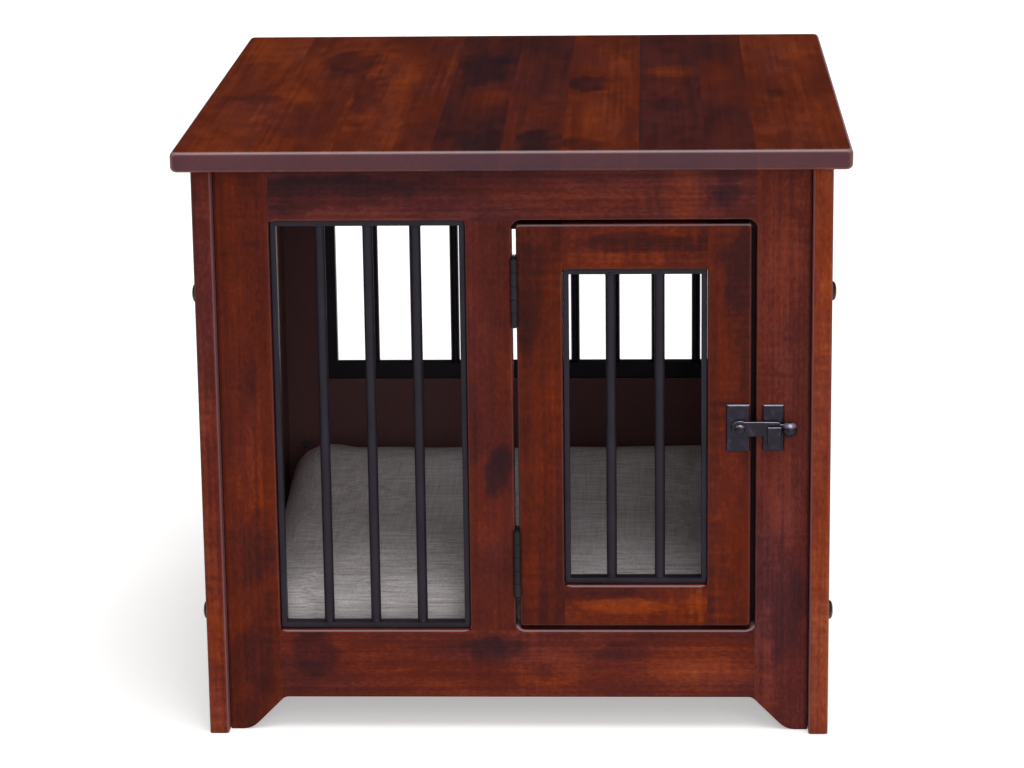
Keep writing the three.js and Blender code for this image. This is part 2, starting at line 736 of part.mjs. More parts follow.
/** One leaf with its share of the knuckles. side -1 is the frame's leaf, +1 the door's. */
function hingeLeaf(side, middleZ) {
  const bottom = middleZ - HINGE_LENGTH / 2;
  const outerX = side < 0 ? CENTRE_STILE_RIGHT + GAP : DOOR_LEFT - GAP;
  const xs = [outerX, outerX - side * HINGE_LEAF].sort((a, b) => a - b);
  const barrel = HINGE_BARREL / 2;
  const plateStart = hingeAxis.y + barrel + GAP;
  const plateEnd = hingeAxis.y + barrel + HINGE_LEAF_REACH;
  let leaf = block([xs[0], plateStart, bottom], [xs[1], plateEnd, bottom + HINGE_LENGTH]);
  const knuckle = HINGE_LENGTH / HINGE_KNUCKLES;
  const first = side < 0 ? 0 : 1;
  for (let index = first; index < HINGE_KNUCKLES; index += 2) {
    const z0 = bottom + index * knuckle + GAP / 2;
    const z1 = bottom + (index + 1) * knuckle - GAP / 2;
    leaf = join(
      leaf,
      rod('z', barrel, [hingeAxis.x, hingeAxis.y, z0], [hingeAxis.x, hingeAxis.y, z1]),
      block([xs[0], hingeAxis.y, z0], [xs[1], plateStart + 1, z1]),
    );
  }
  const pinBore = rod(
    'z', HINGE_PIN / 2 + GAP,
    [hingeAxis.x, hingeAxis.y, bottom - 1], [hingeAxis.x, hingeAxis.y, bottom + HINGE_LENGTH + 1],
  );
  const screwHoles = Array.from({ length: HINGE_SCREWS }, (_, index) => {
    const z = middleZ + (index - (HINGE_SCREWS - 1) / 2) * (HINGE_LENGTH / HINGE_SCREWS);
    const y = (plateStart + plateEnd) / 2 + (index % 2 ? -3 : 3);
    return rod('x', 2.1, [xs[0] - 1, y, z], [xs[1] + 1, y, z], 12);
  });
  return cut(leaf, pinBore, ...screwHoles);
}

/** The hinge pin, with a button head above and below the knuckles. */
function hingePin(middleZ) {
  const half = HINGE_LENGTH / 2;
  const button = HINGE_BARREL / 2;
  const pin = HINGE_PIN / 2;
  const profile = [
    [0, -half - HINGE_BUTTON], [button * 0.8, -half - HINGE_BUTTON + 0.2],
    [button, -half - GAP], [pin, -half - GAP], [pin, half + GAP], [button, half + GAP],
    [button * 0.8, half + HINGE_BUTTON - 0.2], [0, half + HINGE_BUTTON],
  ];
  const geometry = new THREE.LatheGeometry(
    profile.map(([radius, height]) => new THREE.Vector2(radius, height)), 14,
  );
  return solid(geometry.rotateX(Math.PI / 2))
    .translate([hingeAxis.x, hingeAxis.y, middleZ]);
}

HINGE_HEIGHTS.forEach((z, level) => {
  const place = ['lower', 'upper'][level];
  addPiece(`hinge_${place}_frame_leaf`, hingeLeaf(-1, z), blackSteel);
  addPiece(`hinge_${place}_door_leaf`, hingeLeaf(1, z), blackSteel);
  addPiece(`hinge_${place}_pin`, hingePin(z), blackSteel);
});

// ---- Drop-bar latch -------------------------------------------------------------------------

/** A cast plate with bevelled edges, lying on the face of the wood. */
function bevelledPlate({ x, z, width, height }) {
  const ring = (inset, y) => roundedRectangle(width - 2 * inset, height - 2 * inset, 1, 2)
    .map(([u, v]) => [x + u, y, z + v]);
  return solid(loftGeometry([
    ring(0, frontFace - GAP), ring(0, plateFace + PLATE_BEVEL), ring(PLATE_BEVEL, plateFace),
  ]));
}

const barBackY = plateFace - GAP;
const barFrontY = barBackY - LATCH_BAR_THICKNESS;

addPiece('latch_plate', cut(
  bevelledPlate(DOOR_PLATE),
  rod(
    'y', RIVET_SHANK / 2 + GAP,
    [LATCH_PIVOT.x, plateFace - 1, LATCH_PIVOT.z], [LATCH_PIVOT.x, frontFace, LATCH_PIVOT.z],
  ),
), ironLatch);

/** A round-headed rivet that the bar turns on. */
function latchRivet() {
  const headBack = barFrontY - GAP;
  const shankEnd = frontFace - GAP;
  const profile = [[0, shankEnd], [RIVET_SHANK / 2, shankEnd], [RIVET_SHANK / 2, headBack]];
  const steps = 5;
  for (let step = 0; step <= steps; step += 1) {
    const angle = (step / steps) * Math.PI / 2;
    profile.push([(RIVET_HEAD / 2) * Math.cos(angle), headBack - RIVET_RISE * Math.sin(angle)]);
  }
  profile[profile.length - 1][0] = 0;
  const geometry = new THREE.LatheGeometry(
    profile.reverse().map(([radius, y]) => new THREE.Vector2(radius, y)), 18,
  );
  return solid(geometry).translate([LATCH_PIVOT.x, 0, LATCH_PIVOT.z]);
}
addPiece('latch_rivet', latchRivet(), ironLatch);

/** The bar: a round eye on the rivet, a flat arm, a neck and a ball knob. */
function latchBar() {
  const { x, z } = LATCH_PIVOT;
  const arm = LATCH_BAR_HEIGHT / 2;
  const neck = LATCH_NECK_HEIGHT / 2;
  const leave = Math.asin(arm / LATCH_EYE_RADIUS);
  const armEnd = HOOK.right - 1;
  const outline = new THREE.Shape();
  outline.absarc(x, z, LATCH_EYE_RADIUS, leave, 2 * Math.PI - leave, false);
  outline.lineTo(armEnd - 4, z - arm);
  outline.quadraticCurveTo(armEnd, z - arm, armEnd + 1, KNOB.z - neck);
  outline.lineTo(KNOB.x, KNOB.z - neck);
  outline.lineTo(KNOB.x, KNOB.z + neck);
  outline.lineTo(armEnd + 1, KNOB.z + neck);
  outline.quadraticCurveTo(armEnd, z + arm, armEnd - 4, z + arm);
  outline.closePath();
  const flat = extrudeAlongY(outline, barFrontY, barBackY, 9);
  const ball = solid(new THREE.SphereGeometry(KNOB.radius, 20, 12)
    .rotateX(Math.PI / 2).translate(KNOB.x, frontFace - KNOB.out, KNOB.z));
  const eye = rod('y', RIVET_SHANK / 2 + GAP, [x, barFrontY - 1, z], [x, barBackY + 1, z], 18);
  return cut(join(flat, ball), eye);
}
addPiece('latch_bar', latchBar(), ironLatch);

/** The keeper: a bevelled plate with a cast hook that the bar drops into. */
function keeper() {
  const lipFront = barFrontY - 0.8 - HOOK.lip;
  const lipBack = barFrontY - 0.8;
  const seat = LATCH_PIVOT.z - LATCH_BAR_HEIGHT / 2 - GAP;
  const side = new THREE.Shape();
  side.moveTo(plateFace + 1, HOOK.bottom + 1);
  side.lineTo(lipBack, HOOK.bottom);
  side.quadraticCurveTo(lipFront, HOOK.bottom + 1, lipFront, HOOK.bottom + 9);
  side.lineTo(lipFront, HOOK.top - 1.5);
  side.quadraticCurveTo(lipFront, HOOK.top, lipFront + HOOK.lip / 2, HOOK.top);
  side.quadraticCurveTo(lipBack, HOOK.top, lipBack, HOOK.top - 1.5);
  side.lineTo(lipBack, seat + 1.5);
  side.quadraticCurveTo(lipBack, seat, lipBack + 1.5, seat);
  side.lineTo(plateFace + 1, seat);
  const half = (HOOK.right - HOOK.left) / 2;
  const front = new THREE.Shape();
  const middleX = (HOOK.left + HOOK.right) / 2;
  front.absarc(middleX, HOOK.bottom + half, half, Math.PI, 2 * Math.PI, false);
  front.lineTo(HOOK.right, HOOK.top + 1);
  front.lineTo(HOOK.left, HOOK.top + 1);
  front.closePath();
  const hook = extrudeAlongX(side, HOOK.left, HOOK.right)
    .intersect(extrudeAlongY(front, lipFront - 1, plateFace + 2));
  return join(bevelledPlate(KEEPER_PLATE), hook);
}
addPiece('keeper', keeper(), ironLatch);

// ---- Cushion --------------------------------------------------------------------------------

/** Cushion outline at a given inset, its sides drawn in a little between the corners. */
function cushionRing(inset, height) {
  const width = CUSHION_WIDTH - 2 * inset;
  const length = CUSHION_LENGTH - 2 * inset;
  const radius = Math.max(CUSHION_CORNER - inset * 0.55, 4);
  const cornerSteps = 5;
  const sideSteps = 11;
  const corners = roundedRectangle(width, length, radius, cornerSteps);
  const ring = [];
  for (let corner = 0; corner < 4; corner += 1) {
    const first = corner * (cornerSteps + 1);
    ring.push(...corners.slice(first, first + cornerSteps + 1));
    const from = corners[first + cornerSteps];
    const to = corners[(first + cornerSteps + 1) % corners.length];
    for (let step = 1; step < sideSteps; step += 1) {
      const share = step / sideSteps;
      ring.push([from[0] + (to[0] - from[0]) * share, from[1] + (to[1] - from[1]) * share]);
    }
  }
  return ring.map(([x, y]) => {
    const along = Math.abs(x) / (width / 2) > Math.abs(y) / (length / 2) ? y / length : x / width;
    const draw = CUSHION_DRAW * Math.max(0, Math.cos(Math.PI * along)) * (1 - inset / 300);
    const scaleX = 1 - (2 * draw) / CUSHION_WIDTH;
    const scaleY = 1 - (2 * draw) / CUSHION_LENGTH;
    return [x * scaleX, y * scaleY, height];
  });
}

/** Flat underneath, soft bulging sides, and a low crown over the top. */
function cushion() {
  const base = FLOOR_TOP + GAP;
  const crown = CUSHION_HEIGHT - CUSHION_SIDE;
  const rings = [[34, 0], [14, 2], [4, 9], [0, 19], [1, 31], [7, 42], [16, 49]]
    .map(([inset, height]) => [inset, height]);
  [32, 55, 85, 125, 175, 225].forEach((inset) => {
    const share = inset / (CUSHION_WIDTH / 2);
    rings.push([inset, CUSHION_SIDE + crown * (1 - (1 - share) ** 3) ** 0.8]);
  });
  return solid(loftGeometry(
    rings.map(([inset, height]) => cushionRing(inset, base + height)),
  ));
}
addPiece('cushion', cushion(), wovenFabric);

export default assembly;
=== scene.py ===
import math
from functools import partial

import bmesh
import bpy
import numpy as np
from mathutils import Matrix, Vector
from mathutils.bvhtree import BVHTree


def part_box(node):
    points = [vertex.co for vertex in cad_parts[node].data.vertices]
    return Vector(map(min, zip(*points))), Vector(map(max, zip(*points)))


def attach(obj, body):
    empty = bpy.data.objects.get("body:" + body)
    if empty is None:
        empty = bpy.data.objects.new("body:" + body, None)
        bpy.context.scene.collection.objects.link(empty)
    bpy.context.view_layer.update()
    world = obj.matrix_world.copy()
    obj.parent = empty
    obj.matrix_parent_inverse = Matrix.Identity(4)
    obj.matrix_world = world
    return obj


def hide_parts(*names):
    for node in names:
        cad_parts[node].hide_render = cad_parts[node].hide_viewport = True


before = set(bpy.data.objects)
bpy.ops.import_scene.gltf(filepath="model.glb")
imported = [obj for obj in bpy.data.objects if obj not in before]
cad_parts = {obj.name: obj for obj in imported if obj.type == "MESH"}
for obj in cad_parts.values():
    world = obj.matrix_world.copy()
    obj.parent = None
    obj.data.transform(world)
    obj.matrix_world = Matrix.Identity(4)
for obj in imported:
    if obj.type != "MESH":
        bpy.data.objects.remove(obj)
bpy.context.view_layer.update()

# ---- Camera ---------------------------------------------------------------------------------
# It stands 3.4 m in front of the table and 1.1 m up, with a long lens, and looks down by
# about 15 degrees, as the photograph's did.

CAMERA_PLACE = (0.124425, -3.373708, 1.142090)
CAMERA_YAW, CAMERA_PITCH, CAMERA_ROLL = 0.0410801, 0.2564558, -0.0127
CAMERA_LENS = 121.78


def in_scene(name, data):
    """A new object of that name, linked into the scene."""
    made = bpy.data.objects.new(name, data)
    bpy.context.scene.collection.objects.link(made)
    return made


ahead = Vector((
    -math.sin(CAMERA_YAW) * math.cos(CAMERA_PITCH),
    math.cos(CAMERA_YAW) * math.cos(CAMERA_PITCH),
    -math.sin(CAMERA_PITCH),
))
level = Vector((math.cos(CAMERA_YAW), math.sin(CAMERA_YAW), 0))
upright = level.cross(ahead)
across = level * math.cos(CAMERA_ROLL) + upright * math.sin(CAMERA_ROLL)
upward = upright * math.cos(CAMERA_ROLL) - level * math.sin(CAMERA_ROLL)
camera = in_scene("camera", bpy.data.cameras.new("camera"))
camera.data.sensor_width = 36
camera.data.lens = CAMERA_LENS
camera.data.clip_end = 200
camera.matrix_world = Matrix.Translation(CAMERA_PLACE) @ Matrix(
    (across, upward, -ahead)
).transposed().to_4x4()
bpy.context.scene.camera = camera

# ---- Floor and light ------------------------------------------------------------------------
# A wide pale floor and nothing round it. A soft lamp hangs almost overhead, a wide one stands
# in front and to the right, and weaker ones fill in all round, also from behind through the
# bars. The room is dim, so that the polished top, seen almost edge on, keeps its colour.

FLOOR_COLOUR = "#f4f3f2"
FLOOR_HALF, FLOOR_LEVEL = 40, -0.0002
FLOOR_LIFT = 0.4  # what it takes to show the lit board as white
ROOM_LEVEL = 0.008


def linear(colour):
    """An sRGB hex colour as the linear colour that shaders take."""
    sent = np.array([int(colour[i:i + 2], 16) for i in (1, 3, 5)]) / 255
    made = np.where(sent <= 0.04045, sent / 12.92, ((sent + 0.055) / 1.055) ** 2.4)
    return (*made.tolist(), 1.0)


def place(tree, kind, sockets=(), stops=(), give=0, **settings):
    """
    Adds a node and returns one of its outputs. settings are the node's own, stops a ramp's,
    and sockets its inputs in order or by name: values, or the outputs that are linked to them.
    """
    made = tree.nodes.new("ShaderNode" + kind)
    for name, value in settings.items():
        setattr(made, name, value)
    for index, (position, colour) in enumerate(stops):
        ramp = made.color_ramp.elements
        stop = ramp[index] if index < 2 else ramp.new(position)
        stop.position = position
        stop.color = colour if isinstance(colour, tuple) else linear(colour)
    for name, value in sockets.items() if isinstance(sockets, dict) else enumerate(sockets):
        if isinstance(value, bpy.types.NodeSocket):
            tree.links.new(value, made.inputs[name])
        else:
            made.inputs[name].default_value = value
    return made.outputs[give] if len(made.outputs) else made


def blank_material(name):
    """A material with an empty node tree, and place for that tree."""
    made = bpy.data.materials.new(name)
    made.use_nodes = True
    made.node_tree.nodes.clear()
    return made, partial(place, made.node_tree)


def pale_floor():
    """Matt white board. What the camera, gloss and glass see of it is lifted to white."""
    made, add = blank_material("floor_matt_white_board")
    ray = add("LightPath").node.outputs
    seen = ray["Is Camera Ray"]
    for name in ("Is Glossy Ray", "Is Transmission Ray"):
        seen = add("Math", [seen, ray[name]], operation="MAXIMUM")
    lift = add("Math", [seen, FLOOR_LIFT], operation="MULTIPLY")
    board = add("BsdfPrincipled", {
        "Base Color": linear(FLOOR_COLOUR), "Roughness": 0.9, "Specular IOR Level": 0.0,
        "Emission Color": linear("#ffffff"), "Emission Strength": lift,
    })
    add("OutputMaterial", [board])
    return made


floor_mesh = bpy.data.meshes.new("studio_floor")
floor_mesh.from_pydata(
    [(x * FLOOR_HALF, y * FLOOR_HALF, FLOOR_LEVEL) for x, y in ((-1, -1), (1, -1), (1, 1), (-1, 1))],
    [], [(0, 1, 2, 3)],
)
floor_mesh.materials.append(pale_floor())
in_scene("studio_floor", floor_mesh)

# name: azimuth and height it shines from in degrees, level, width in degrees, seen in gloss.
# A white board square to a lamp of level 1 shows as white.
LAMPS = {
    "overhead": (20, 74, 0.54, 40, True),
    "front": (16, 22, 0.42, 50, True),
    "low_fill": (-20, 12, 0.10, 80, False),
    "left_fill": (-80, 30, 0.05, 60, False),
    "right_fill": (80, 30, 0.09, 60, False),
    "back_fill": (160, 22, 0.42, 70, False),
}
for lamp_name, (azimuth, height, brightness, width, in_gloss) in LAMPS.items():
    turn, rise = math.radians(azimuth), math.radians(height)
    towards = Vector((
        math.sin(turn) * math.cos(rise), -math.cos(turn) * math.cos(rise), math.sin(rise),
    ))
    sun = bpy.data.lights.new(lamp_name, "SUN")
    sun.energy = brightness * math.pi
    sun.angle = math.radians(width)
    lamp = in_scene(lamp_name, sun)
    lamp.rotation_mode = "QUATERNION"
    lamp.rotation_quaternion = towards.to_track_quat("Z", "Y")
    lamp.visible_glossy = in_gloss

room = bpy.data.worlds.new("dim_room")
room.use_nodes = True
glow = room.node_tree.nodes["Background"].inputs
glow["Color"].default_value, glow["Strength"].default_value = linear("#ffffff"), ROOM_LEVEL
bpy.context.scene.world = room

# ---- Tabletop -------------------------------------------------------------------------------
# A slab of solid maple, edge-glued from ten staves that run front to back. It is routed round
# its edge with a small rounding-over bit, stained red-brown and lacquered. It rests on the
# frames and side boards and is screwed on from below through the top cleats.

TOP_WIDTH, TOP_DEPTH = 0.613, 0.661
TOP_UNDERSIDE, TOP_FACE = 0.5395, 0.5588
TOP_EDGE_RADIUS, TOP_CORNER_RADIUS = 0.005, 0.007
# each stave: its left edge in millimetres, tone, warmth, and where in the log it was cut
STAVES = [
    (-306.5, 0.56, 0.90, 0.05), (-235, 0.53, 0.94, 0.32), (-162, 0.51, 0.88, 0.71),
    (-107, 0.48, 0.80, 0.18), (-72, 0.38, 0.44, 0.86), (-10, 0.41, 0.50, 0.47),
    (45, 0.50, 0.90, 0.61), (114, 0.39, 0.40, 0.93), (173, 0.40, 0.50, 0.26),
    (220, 0.51, 0.90, 0.78),
]
# darker and lighter clouds in the stain: middle and half sizes in millimetres, first in X and
# then in Y on the top or Z on an upright board, more tone, and more warmth
TOP_CLOUDS = [
    (-150, -60, 16, 150, -0.08, -0.06), (-122, 20, 14, 170, 0.07, 0.10),
    (-182, 170, 34, 60, -0.12, -0.20), (-250, -60, 30, 20, -0.08, -0.08),
    (-45, 90, 26, 110, -0.10, -0.25), (-20, -60, 30, 60, 0.06, 0.20),
    (-30, -290, 26, 60, -0.08, -0.20), (22, -280, 22, 70, -0.14, -0.35),
    (64, 20, 18, 44, -0.16, -0.50), (80, -190, 22, 130, 0.07, 0.10),
    (66, -300, 20, 30, -0.10, -0.20), (145, 90, 30, 40, 0.12, 0.40),
    (140, -90, 22, 60, -0.09, -0.20), (200, -150, 22, 60, -0.06, -0.10),
    (262, 140, 26, 130, 0.05, 0.05), (246, -40, 12, 26, -0.10, -0.12),
]
GRAIN_TURN = {"x": (0, 0, 0), "y": (0, 0, -math.pi / 2), "z": (0, math.pi / 2, 0)}
# the figure of maple, in millimetres along and across the grain: stain clouds, smaller mottle,
# long streaks, flecks, short curl across the grain, where that shows, pores, changes of hue
FIGURE = {
    "clouds": (220, 55, 4.0), "mottle": (34, 18, 4.0), "streaks": (240, 4, 3.0),
    "fleck": (5, 3.2, 2.0), "curl": (6, 40, 2.5), "curl_place": (110, 40, 1.0),
    "pores": (8, 1.1, 1.0), "hue": (190, 48, 3.0),
}
# how much each of them darkens or lightens the stain
FIGURE_WEIGHT = {
    "clouds": 0.48, "mottle": 0.32, "streaks": 0.3, "fleck": 0.26, "curl": 0.8, "pores": 0.14,
}
COOL_STAIN = [
    (0.0, "#17101a"), (0.3, "#33191d"), (0.5, "#4c2224"), (0.7, "#6b3330"), (1.0, "#8c4a40"),
]
WARM_STAIN = [
    (0.0, "#1e1012"), (0.3, "#45180e"), (0.5, "#62220d"), (0.7, "#87370f"), (1.0, "#b86419"),
]
# the paler grey that faces looking inside are mixed toward: painted light for the shaded inside
INSIDE_LIFT_COLOUR = "#8c5e60"
# end grain drinks more stain: darker on a board's end. Round the tabletop the end is more even
# and violet, and that violet is a painted reflection of the lilac sheen on its edge
BOARD_END = ("#b09a98", "MULTIPLY", 1)
TOP_END = ("#482530", "MIX", 0.85)
END_ROUGHER = 0.34
LOG_STEP = (311, 173, 97)  # from one board's part of the log to the next
STAVE_STEP = 900.0
# pale colour for rounded arrises: a little of it stands for stain that sanding thinned,
# and on arrises that look up it is mostly a painted highlight
ARRIS_WEAR_AND_HIGHLIGHT = "#a58c90"


def facing(add):
    """
    Which way the surface looks: its normal, the size of each part of it, the largest of them,
    which is 1 on a flat face and less on a rounded arris, and how far it looks up.
    """
    faced = add("TexCoord", give="Normal")
    size = add("VectorMath", [faced], operation="ABSOLUTE")
    sides = add("SeparateXYZ", [size]).node.outputs
    widest = add("Math", [sides[0], sides[1]], operation="MAXIMUM")
    widest = add("Math", [widest, sides[2]], operation="MAXIMUM")
    return faced, sides, widest, add("SeparateXYZ", [faced], give="Z")


def stained_maple(name, grain, log, tone, warmth, curl=0.5, staves=(), clouds=(), inside=None,
                  bare_wood=INSIDE_LIFT_COLOUR, gloss=0.06):
    """
    Maple boards, dye-stained and sprayed with a satin lacquer. Stain soaks in unevenly, so the
    wood shows dark clouds, bright flames and fine streaks along the grain, with ripples of curl
    across it. A board reads its own part of the log. Patterns are in real millimetres. The face
    that looks inside is mixed toward a paler grey, painted light that lifts it out of the shade.
    """
    made, add = blank_material(name)
    point = add("TexCoord", give="Object")
    faced, sides, widest, upward = facing(add)
    grain_point = add("Mapping", {
        "Vector": point, "Scale": (1000, 1000, 1000), "Rotation": GRAIN_TURN[grain],
        "Location": [log * step for step in LOG_STEP],
    })
    shade, hue = tone, warmth
    if staves:
        x = add("SeparateXYZ", [point])
        share = add("MapRange", {
            "Value": x, "From Min": -TOP_WIDTH / 2, "From Max": TOP_WIDTH / 2,
        })
        stave = add("ValToRGB", [share], stops=[
            (left / (TOP_WIDTH * 1000) + 0.5, (t, w, cut, 1.0)) for left, t, w, cut in staves])
        stave.node.color_ramp.interpolation = "CONSTANT"
        shade, hue, cut = add("SeparateColor", [stave]).node.outputs
        shift = add("Math", [cut, STAVE_STEP], operation="MULTIPLY")
        grain_point = add("VectorMath", [grain_point, add("CombineXYZ", {"Z": shift})])
    seen = {}
    for word, (length, width, detail) in FIGURE.items():
        stretched = add("Mapping", {
            "Vector": grain_point, "Scale": (1 / length, 1 / width, 1 / width),
        })
        figure = add("TexNoise", {"Vector": stretched, "Scale": 1.0, "Detail": detail})
        seen[word] = add("Math", [figure, 0.5], operation="SUBTRACT")
    rippled = add("MapRange", {
        "Value": seen["curl_place"], "From Min": -0.08, "From Max": 0.2,
        "To Min": 0.0, "To Max": curl,
    })
    seen["curl"] = add("Math", [seen["curl"], rippled], operation="MULTIPLY")
    for word, weight in FIGURE_WEIGHT.items():
        shade = add("Math", [seen[word], weight, shade], operation="MULTIPLY_ADD")
    hue = add("Math", [seen["hue"], 1.5, hue], operation="MULTIPLY_ADD")
    for cloud_x, cloud_v, half_x, half_v, tone_more, hue_more in clouds:
        across, along = 1000 / half_x, 1000 / half_v
        off = add("Mapping", {
            "Vector": point, "Scale": (across, along, 0) if staves else (across, 0, along),
            "Location": (-cloud_x / half_x, -cloud_v / half_v, 0) if staves
            else (-cloud_x / half_x, 0, -cloud_v / half_v),
        })
        # a soft spot whose edge the clouds and mottle of the figure break up
        spread = add("VectorMath", [off], give=1, operation="LENGTH")
        for word in ("clouds", "mottle"):
            spread = add("Math", [seen[word], 1.4, spread], operation="MULTIPLY_ADD")
        spot = add("MapRange", {
            "Value": spread, "From Min": 1.2, "From Max": 0.6,
        }, interpolation_type="SMOOTHSTEP")
        shade = add("Math", [spot, tone_more, shade], operation="MULTIPLY_ADD")
        hue = add("Math", [spot, hue_more, hue], operation="MULTIPLY_ADD")
    hue = add("Clamp", [hue])
    cool = add("ValToRGB", [shade], stops=COOL_STAIN)
    warm = add("ValToRGB", [shade], stops=WARM_STAIN)
    colour = add("Mix", {0: hue, 6: cool, 7: warm}, give=2, data_type="RGBA")
    # painted light: faces that look inside lie in shade, and are mixed toward a paler grey
    if inside:
        inward = add("VectorMath", [faced, inside], give=1, operation="DOT_PRODUCT")
        bare = add("MapRange", {"Value": inward, "From Min": 0.5, "From Max": 0.8, "To Max": 0.7})
        colour = add("Mix", {0: bare, 6: colour, 7: linear(bare_wood)}, give=2, data_type="RGBA")
    # ends take a darker stain; on the tabletop's edge part of that colour is a painted reflection
    end_stain_and_sheen, blend, share = TOP_END if staves else BOARD_END
    end_grain = add("Math", [sides["XYZ".index(grain.upper())], 0.8], operation="GREATER_THAN")
    colour = add("Mix", {
        0: add("Math", [end_grain, share], operation="MULTIPLY"),
        6: colour, 7: linear(end_stain_and_sheen)}, give=2, data_type="RGBA", blend_type=blend)
    # arrises are a little lighter where sanding thinned the stain; those that look up
    # get a painted highlight, the stronger the more they face up
    arris = add("MapRange", {"Value": widest, "From Min": 0.96, "From Max": 0.8},
                interpolation_type="SMOOTHSTEP")
    brightened = add("MapRange", {
        "Value": upward, "From Min": 0.1, "From Max": 0.6, "To Min": 0.08, "To Max": 0.58,
    })
    arris = add("Math", [arris, brightened], operation="MULTIPLY")
    colour = add("Mix", {0: arris, 6: colour, 7: linear(ARRIS_WEAR_AND_HIGHLIGHT)}, give=2, data_type="RGBA")
    satin = add("MapRange", {
        "Value": seen["clouds"], "From Min": -0.3, "From Max": 0.3,
        "To Min": 0.42, "To Max": 0.34,
    })
    satin = add("Math", [end_grain, END_ROUGHER, satin], operation="MULTIPLY_ADD")
    relief = add("Math", [seen["pores"], 0.6, seen["streaks"]], operation="MULTIPLY_ADD")
    normal = add("Bump", {"Height": relief, "Strength": 0.25, "Distance": 0.0002})
    wood = add("BsdfPrincipled", {
        "Base Color": colour, "Roughness": satin, "IOR": 1.5, "Specular IOR Level": gloss,
        "Normal": normal,
    })
    add("OutputMaterial", [wood])
    return made


def rounded_outline(width, height, radius, steps):
    """
    A rectangle with quarter circles for corners, round zero: each corner's centre lies radius
    in from both sides, and points stand at equal angles round it.
    """
    angle = np.linspace(0, math.pi / 2, steps + 1)
    turned = np.concatenate([angle + corner * math.pi / 2 for corner in range(4)])
    centre_x = np.repeat([1, -1, -1, 1], steps + 1) * (width / 2 - radius)
    centre_y = np.repeat([1, 1, -1, -1], steps + 1) * (height / 2 - radius)
    return np.stack([centre_x + radius * np.cos(turned), centre_y + radius * np.sin(turned)], 1)


def quarter_round(radius, steps):
    """A rounded arris: how far in from the side and down from the face, at equal angles."""
    angle = np.linspace(0, math.pi / 2, steps + 1)
    return np.stack([radius * (1 - np.sin(angle)), radius * (1 - np.cos(angle))], 1)


def closed_surface(name, grids, sharp=40):
    """
    One mesh of closed skins. A grid's rows are rings of points, and quads join each row to the
    next. The end rows are capped, or where they are the same ring, merged into a loop.
    """
    points, faces, start = [], [], 0
    for grid in grids:
        rows, count = grid.shape[:2]
        here = start + np.arange(rows * count).reshape(rows, count)
        after = np.roll(here, -1, axis=1)
        quads = np.stack([here[:-1], after[:-1], after[1:], here[1:]], axis=-1)
        faces += quads.reshape(-1, 4).tolist()
        if not np.allclose(grid[0], grid[-1]):
            faces += [here[0][::-1].tolist(), here[-1].tolist()]
        points.append(grid.reshape(-1, 3))
        start += rows * count
    mesh = bpy.data.meshes.new(name)
    mesh.from_pydata(np.concatenate(points).tolist(), [], faces)
    shape = bmesh.new()
    shape.from_mesh(mesh)
    bmesh.ops.remove_doubles(shape, verts=shape.verts, dist=1e-6)
    bmesh.ops.dissolve_degenerate(shape, edges=shape.edges, dist=1e-7)
    bmesh.ops.recalc_face_normals(shape, faces=shape.faces)
    shape.to_mesh(mesh)
    shape.free()
    mesh.shade_smooth()
    mesh.set_sharp_from_angle(angle=math.radians(sharp))
    piece = in_scene(name, mesh)
    piece.modifiers.new("flat faces stay flat", "WEIGHTED_NORMAL").keep_sharp = True
    return piece


def slab_rings():
    """The rounded rectangle carried up the slab, drawn in along each arris's quarter circle."""
    edge = quarter_round(TOP_EDGE_RADIUS, 8)
    levels = [(inset, TOP_UNDERSIDE + drop) for inset, drop in edge]
    levels += [(inset, TOP_FACE - drop) for inset, drop in edge[::-1]]
    rings = []
    for inset, z in levels:
        flat = rounded_outline(
            TOP_WIDTH - 2 * inset, TOP_DEPTH - 2 * inset, TOP_CORNER_RADIUS - inset, 8)
        rings.append(np.column_stack([flat, np.full(len(flat), z)]))
    return np.array(rings)


def fitted(piece, material, body, node=None):
    """Gives a piece its material, body and slot, and the CAD node whose place it takes."""
    piece.data.materials.append(material)
    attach(piece, body)
    if node:
        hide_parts(node)


fitted(closed_surface("tabletop_slab", [slab_rings()], sharp=60), stained_maple(
    "tabletop_stained_maple", "y", 1, 0.45, 0.5, curl=0.35, staves=STAVES, clouds=TOP_CLOUDS,
    gloss=0.42), "case", "tabletop")

# ---- Side boards ----------------------------------------------------------------------------
# Two solid boards with upright grain. They run to the floor, where an arch leaves a foot at
# each end, and stand 13 mm proud of the frames. Connector bolts hold them to the stiles.

ARRIS_EASE = 0.0004  # what sanding takes off a sharp arris
# node: grain, part of the log, tone, warmth, curl, and the way that its inner face looks
SIDE_BOARDS = {
    "side_panel_left": ("z", 2, 0.52, 0.60, 0.4, (1, 0, 0)),
    "side_panel_right": ("z", 3, 0.74, 0.66, 0.4, (-1, 0, 0)),
}


def merged_copy(node, name=None, flatten=True):
    """The CAD solid with its loose triangles merged and, as a rule, flat areas made one face."""
    mesh = bpy.data.meshes.new(name or node + "_finished")
    shape = bmesh.new()
    shape.from_mesh(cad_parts[node].data)
    bmesh.ops.remove_doubles(shape, verts=shape.verts, dist=5e-6)
    if flatten:
        bmesh.ops.dissolve_limit(
            shape, angle_limit=math.radians(0.5), verts=shape.verts, edges=shape.edges)
    shape.to_mesh(mesh)
    shape.free()
    mesh.shade_smooth()
    return in_scene(mesh.name, mesh)


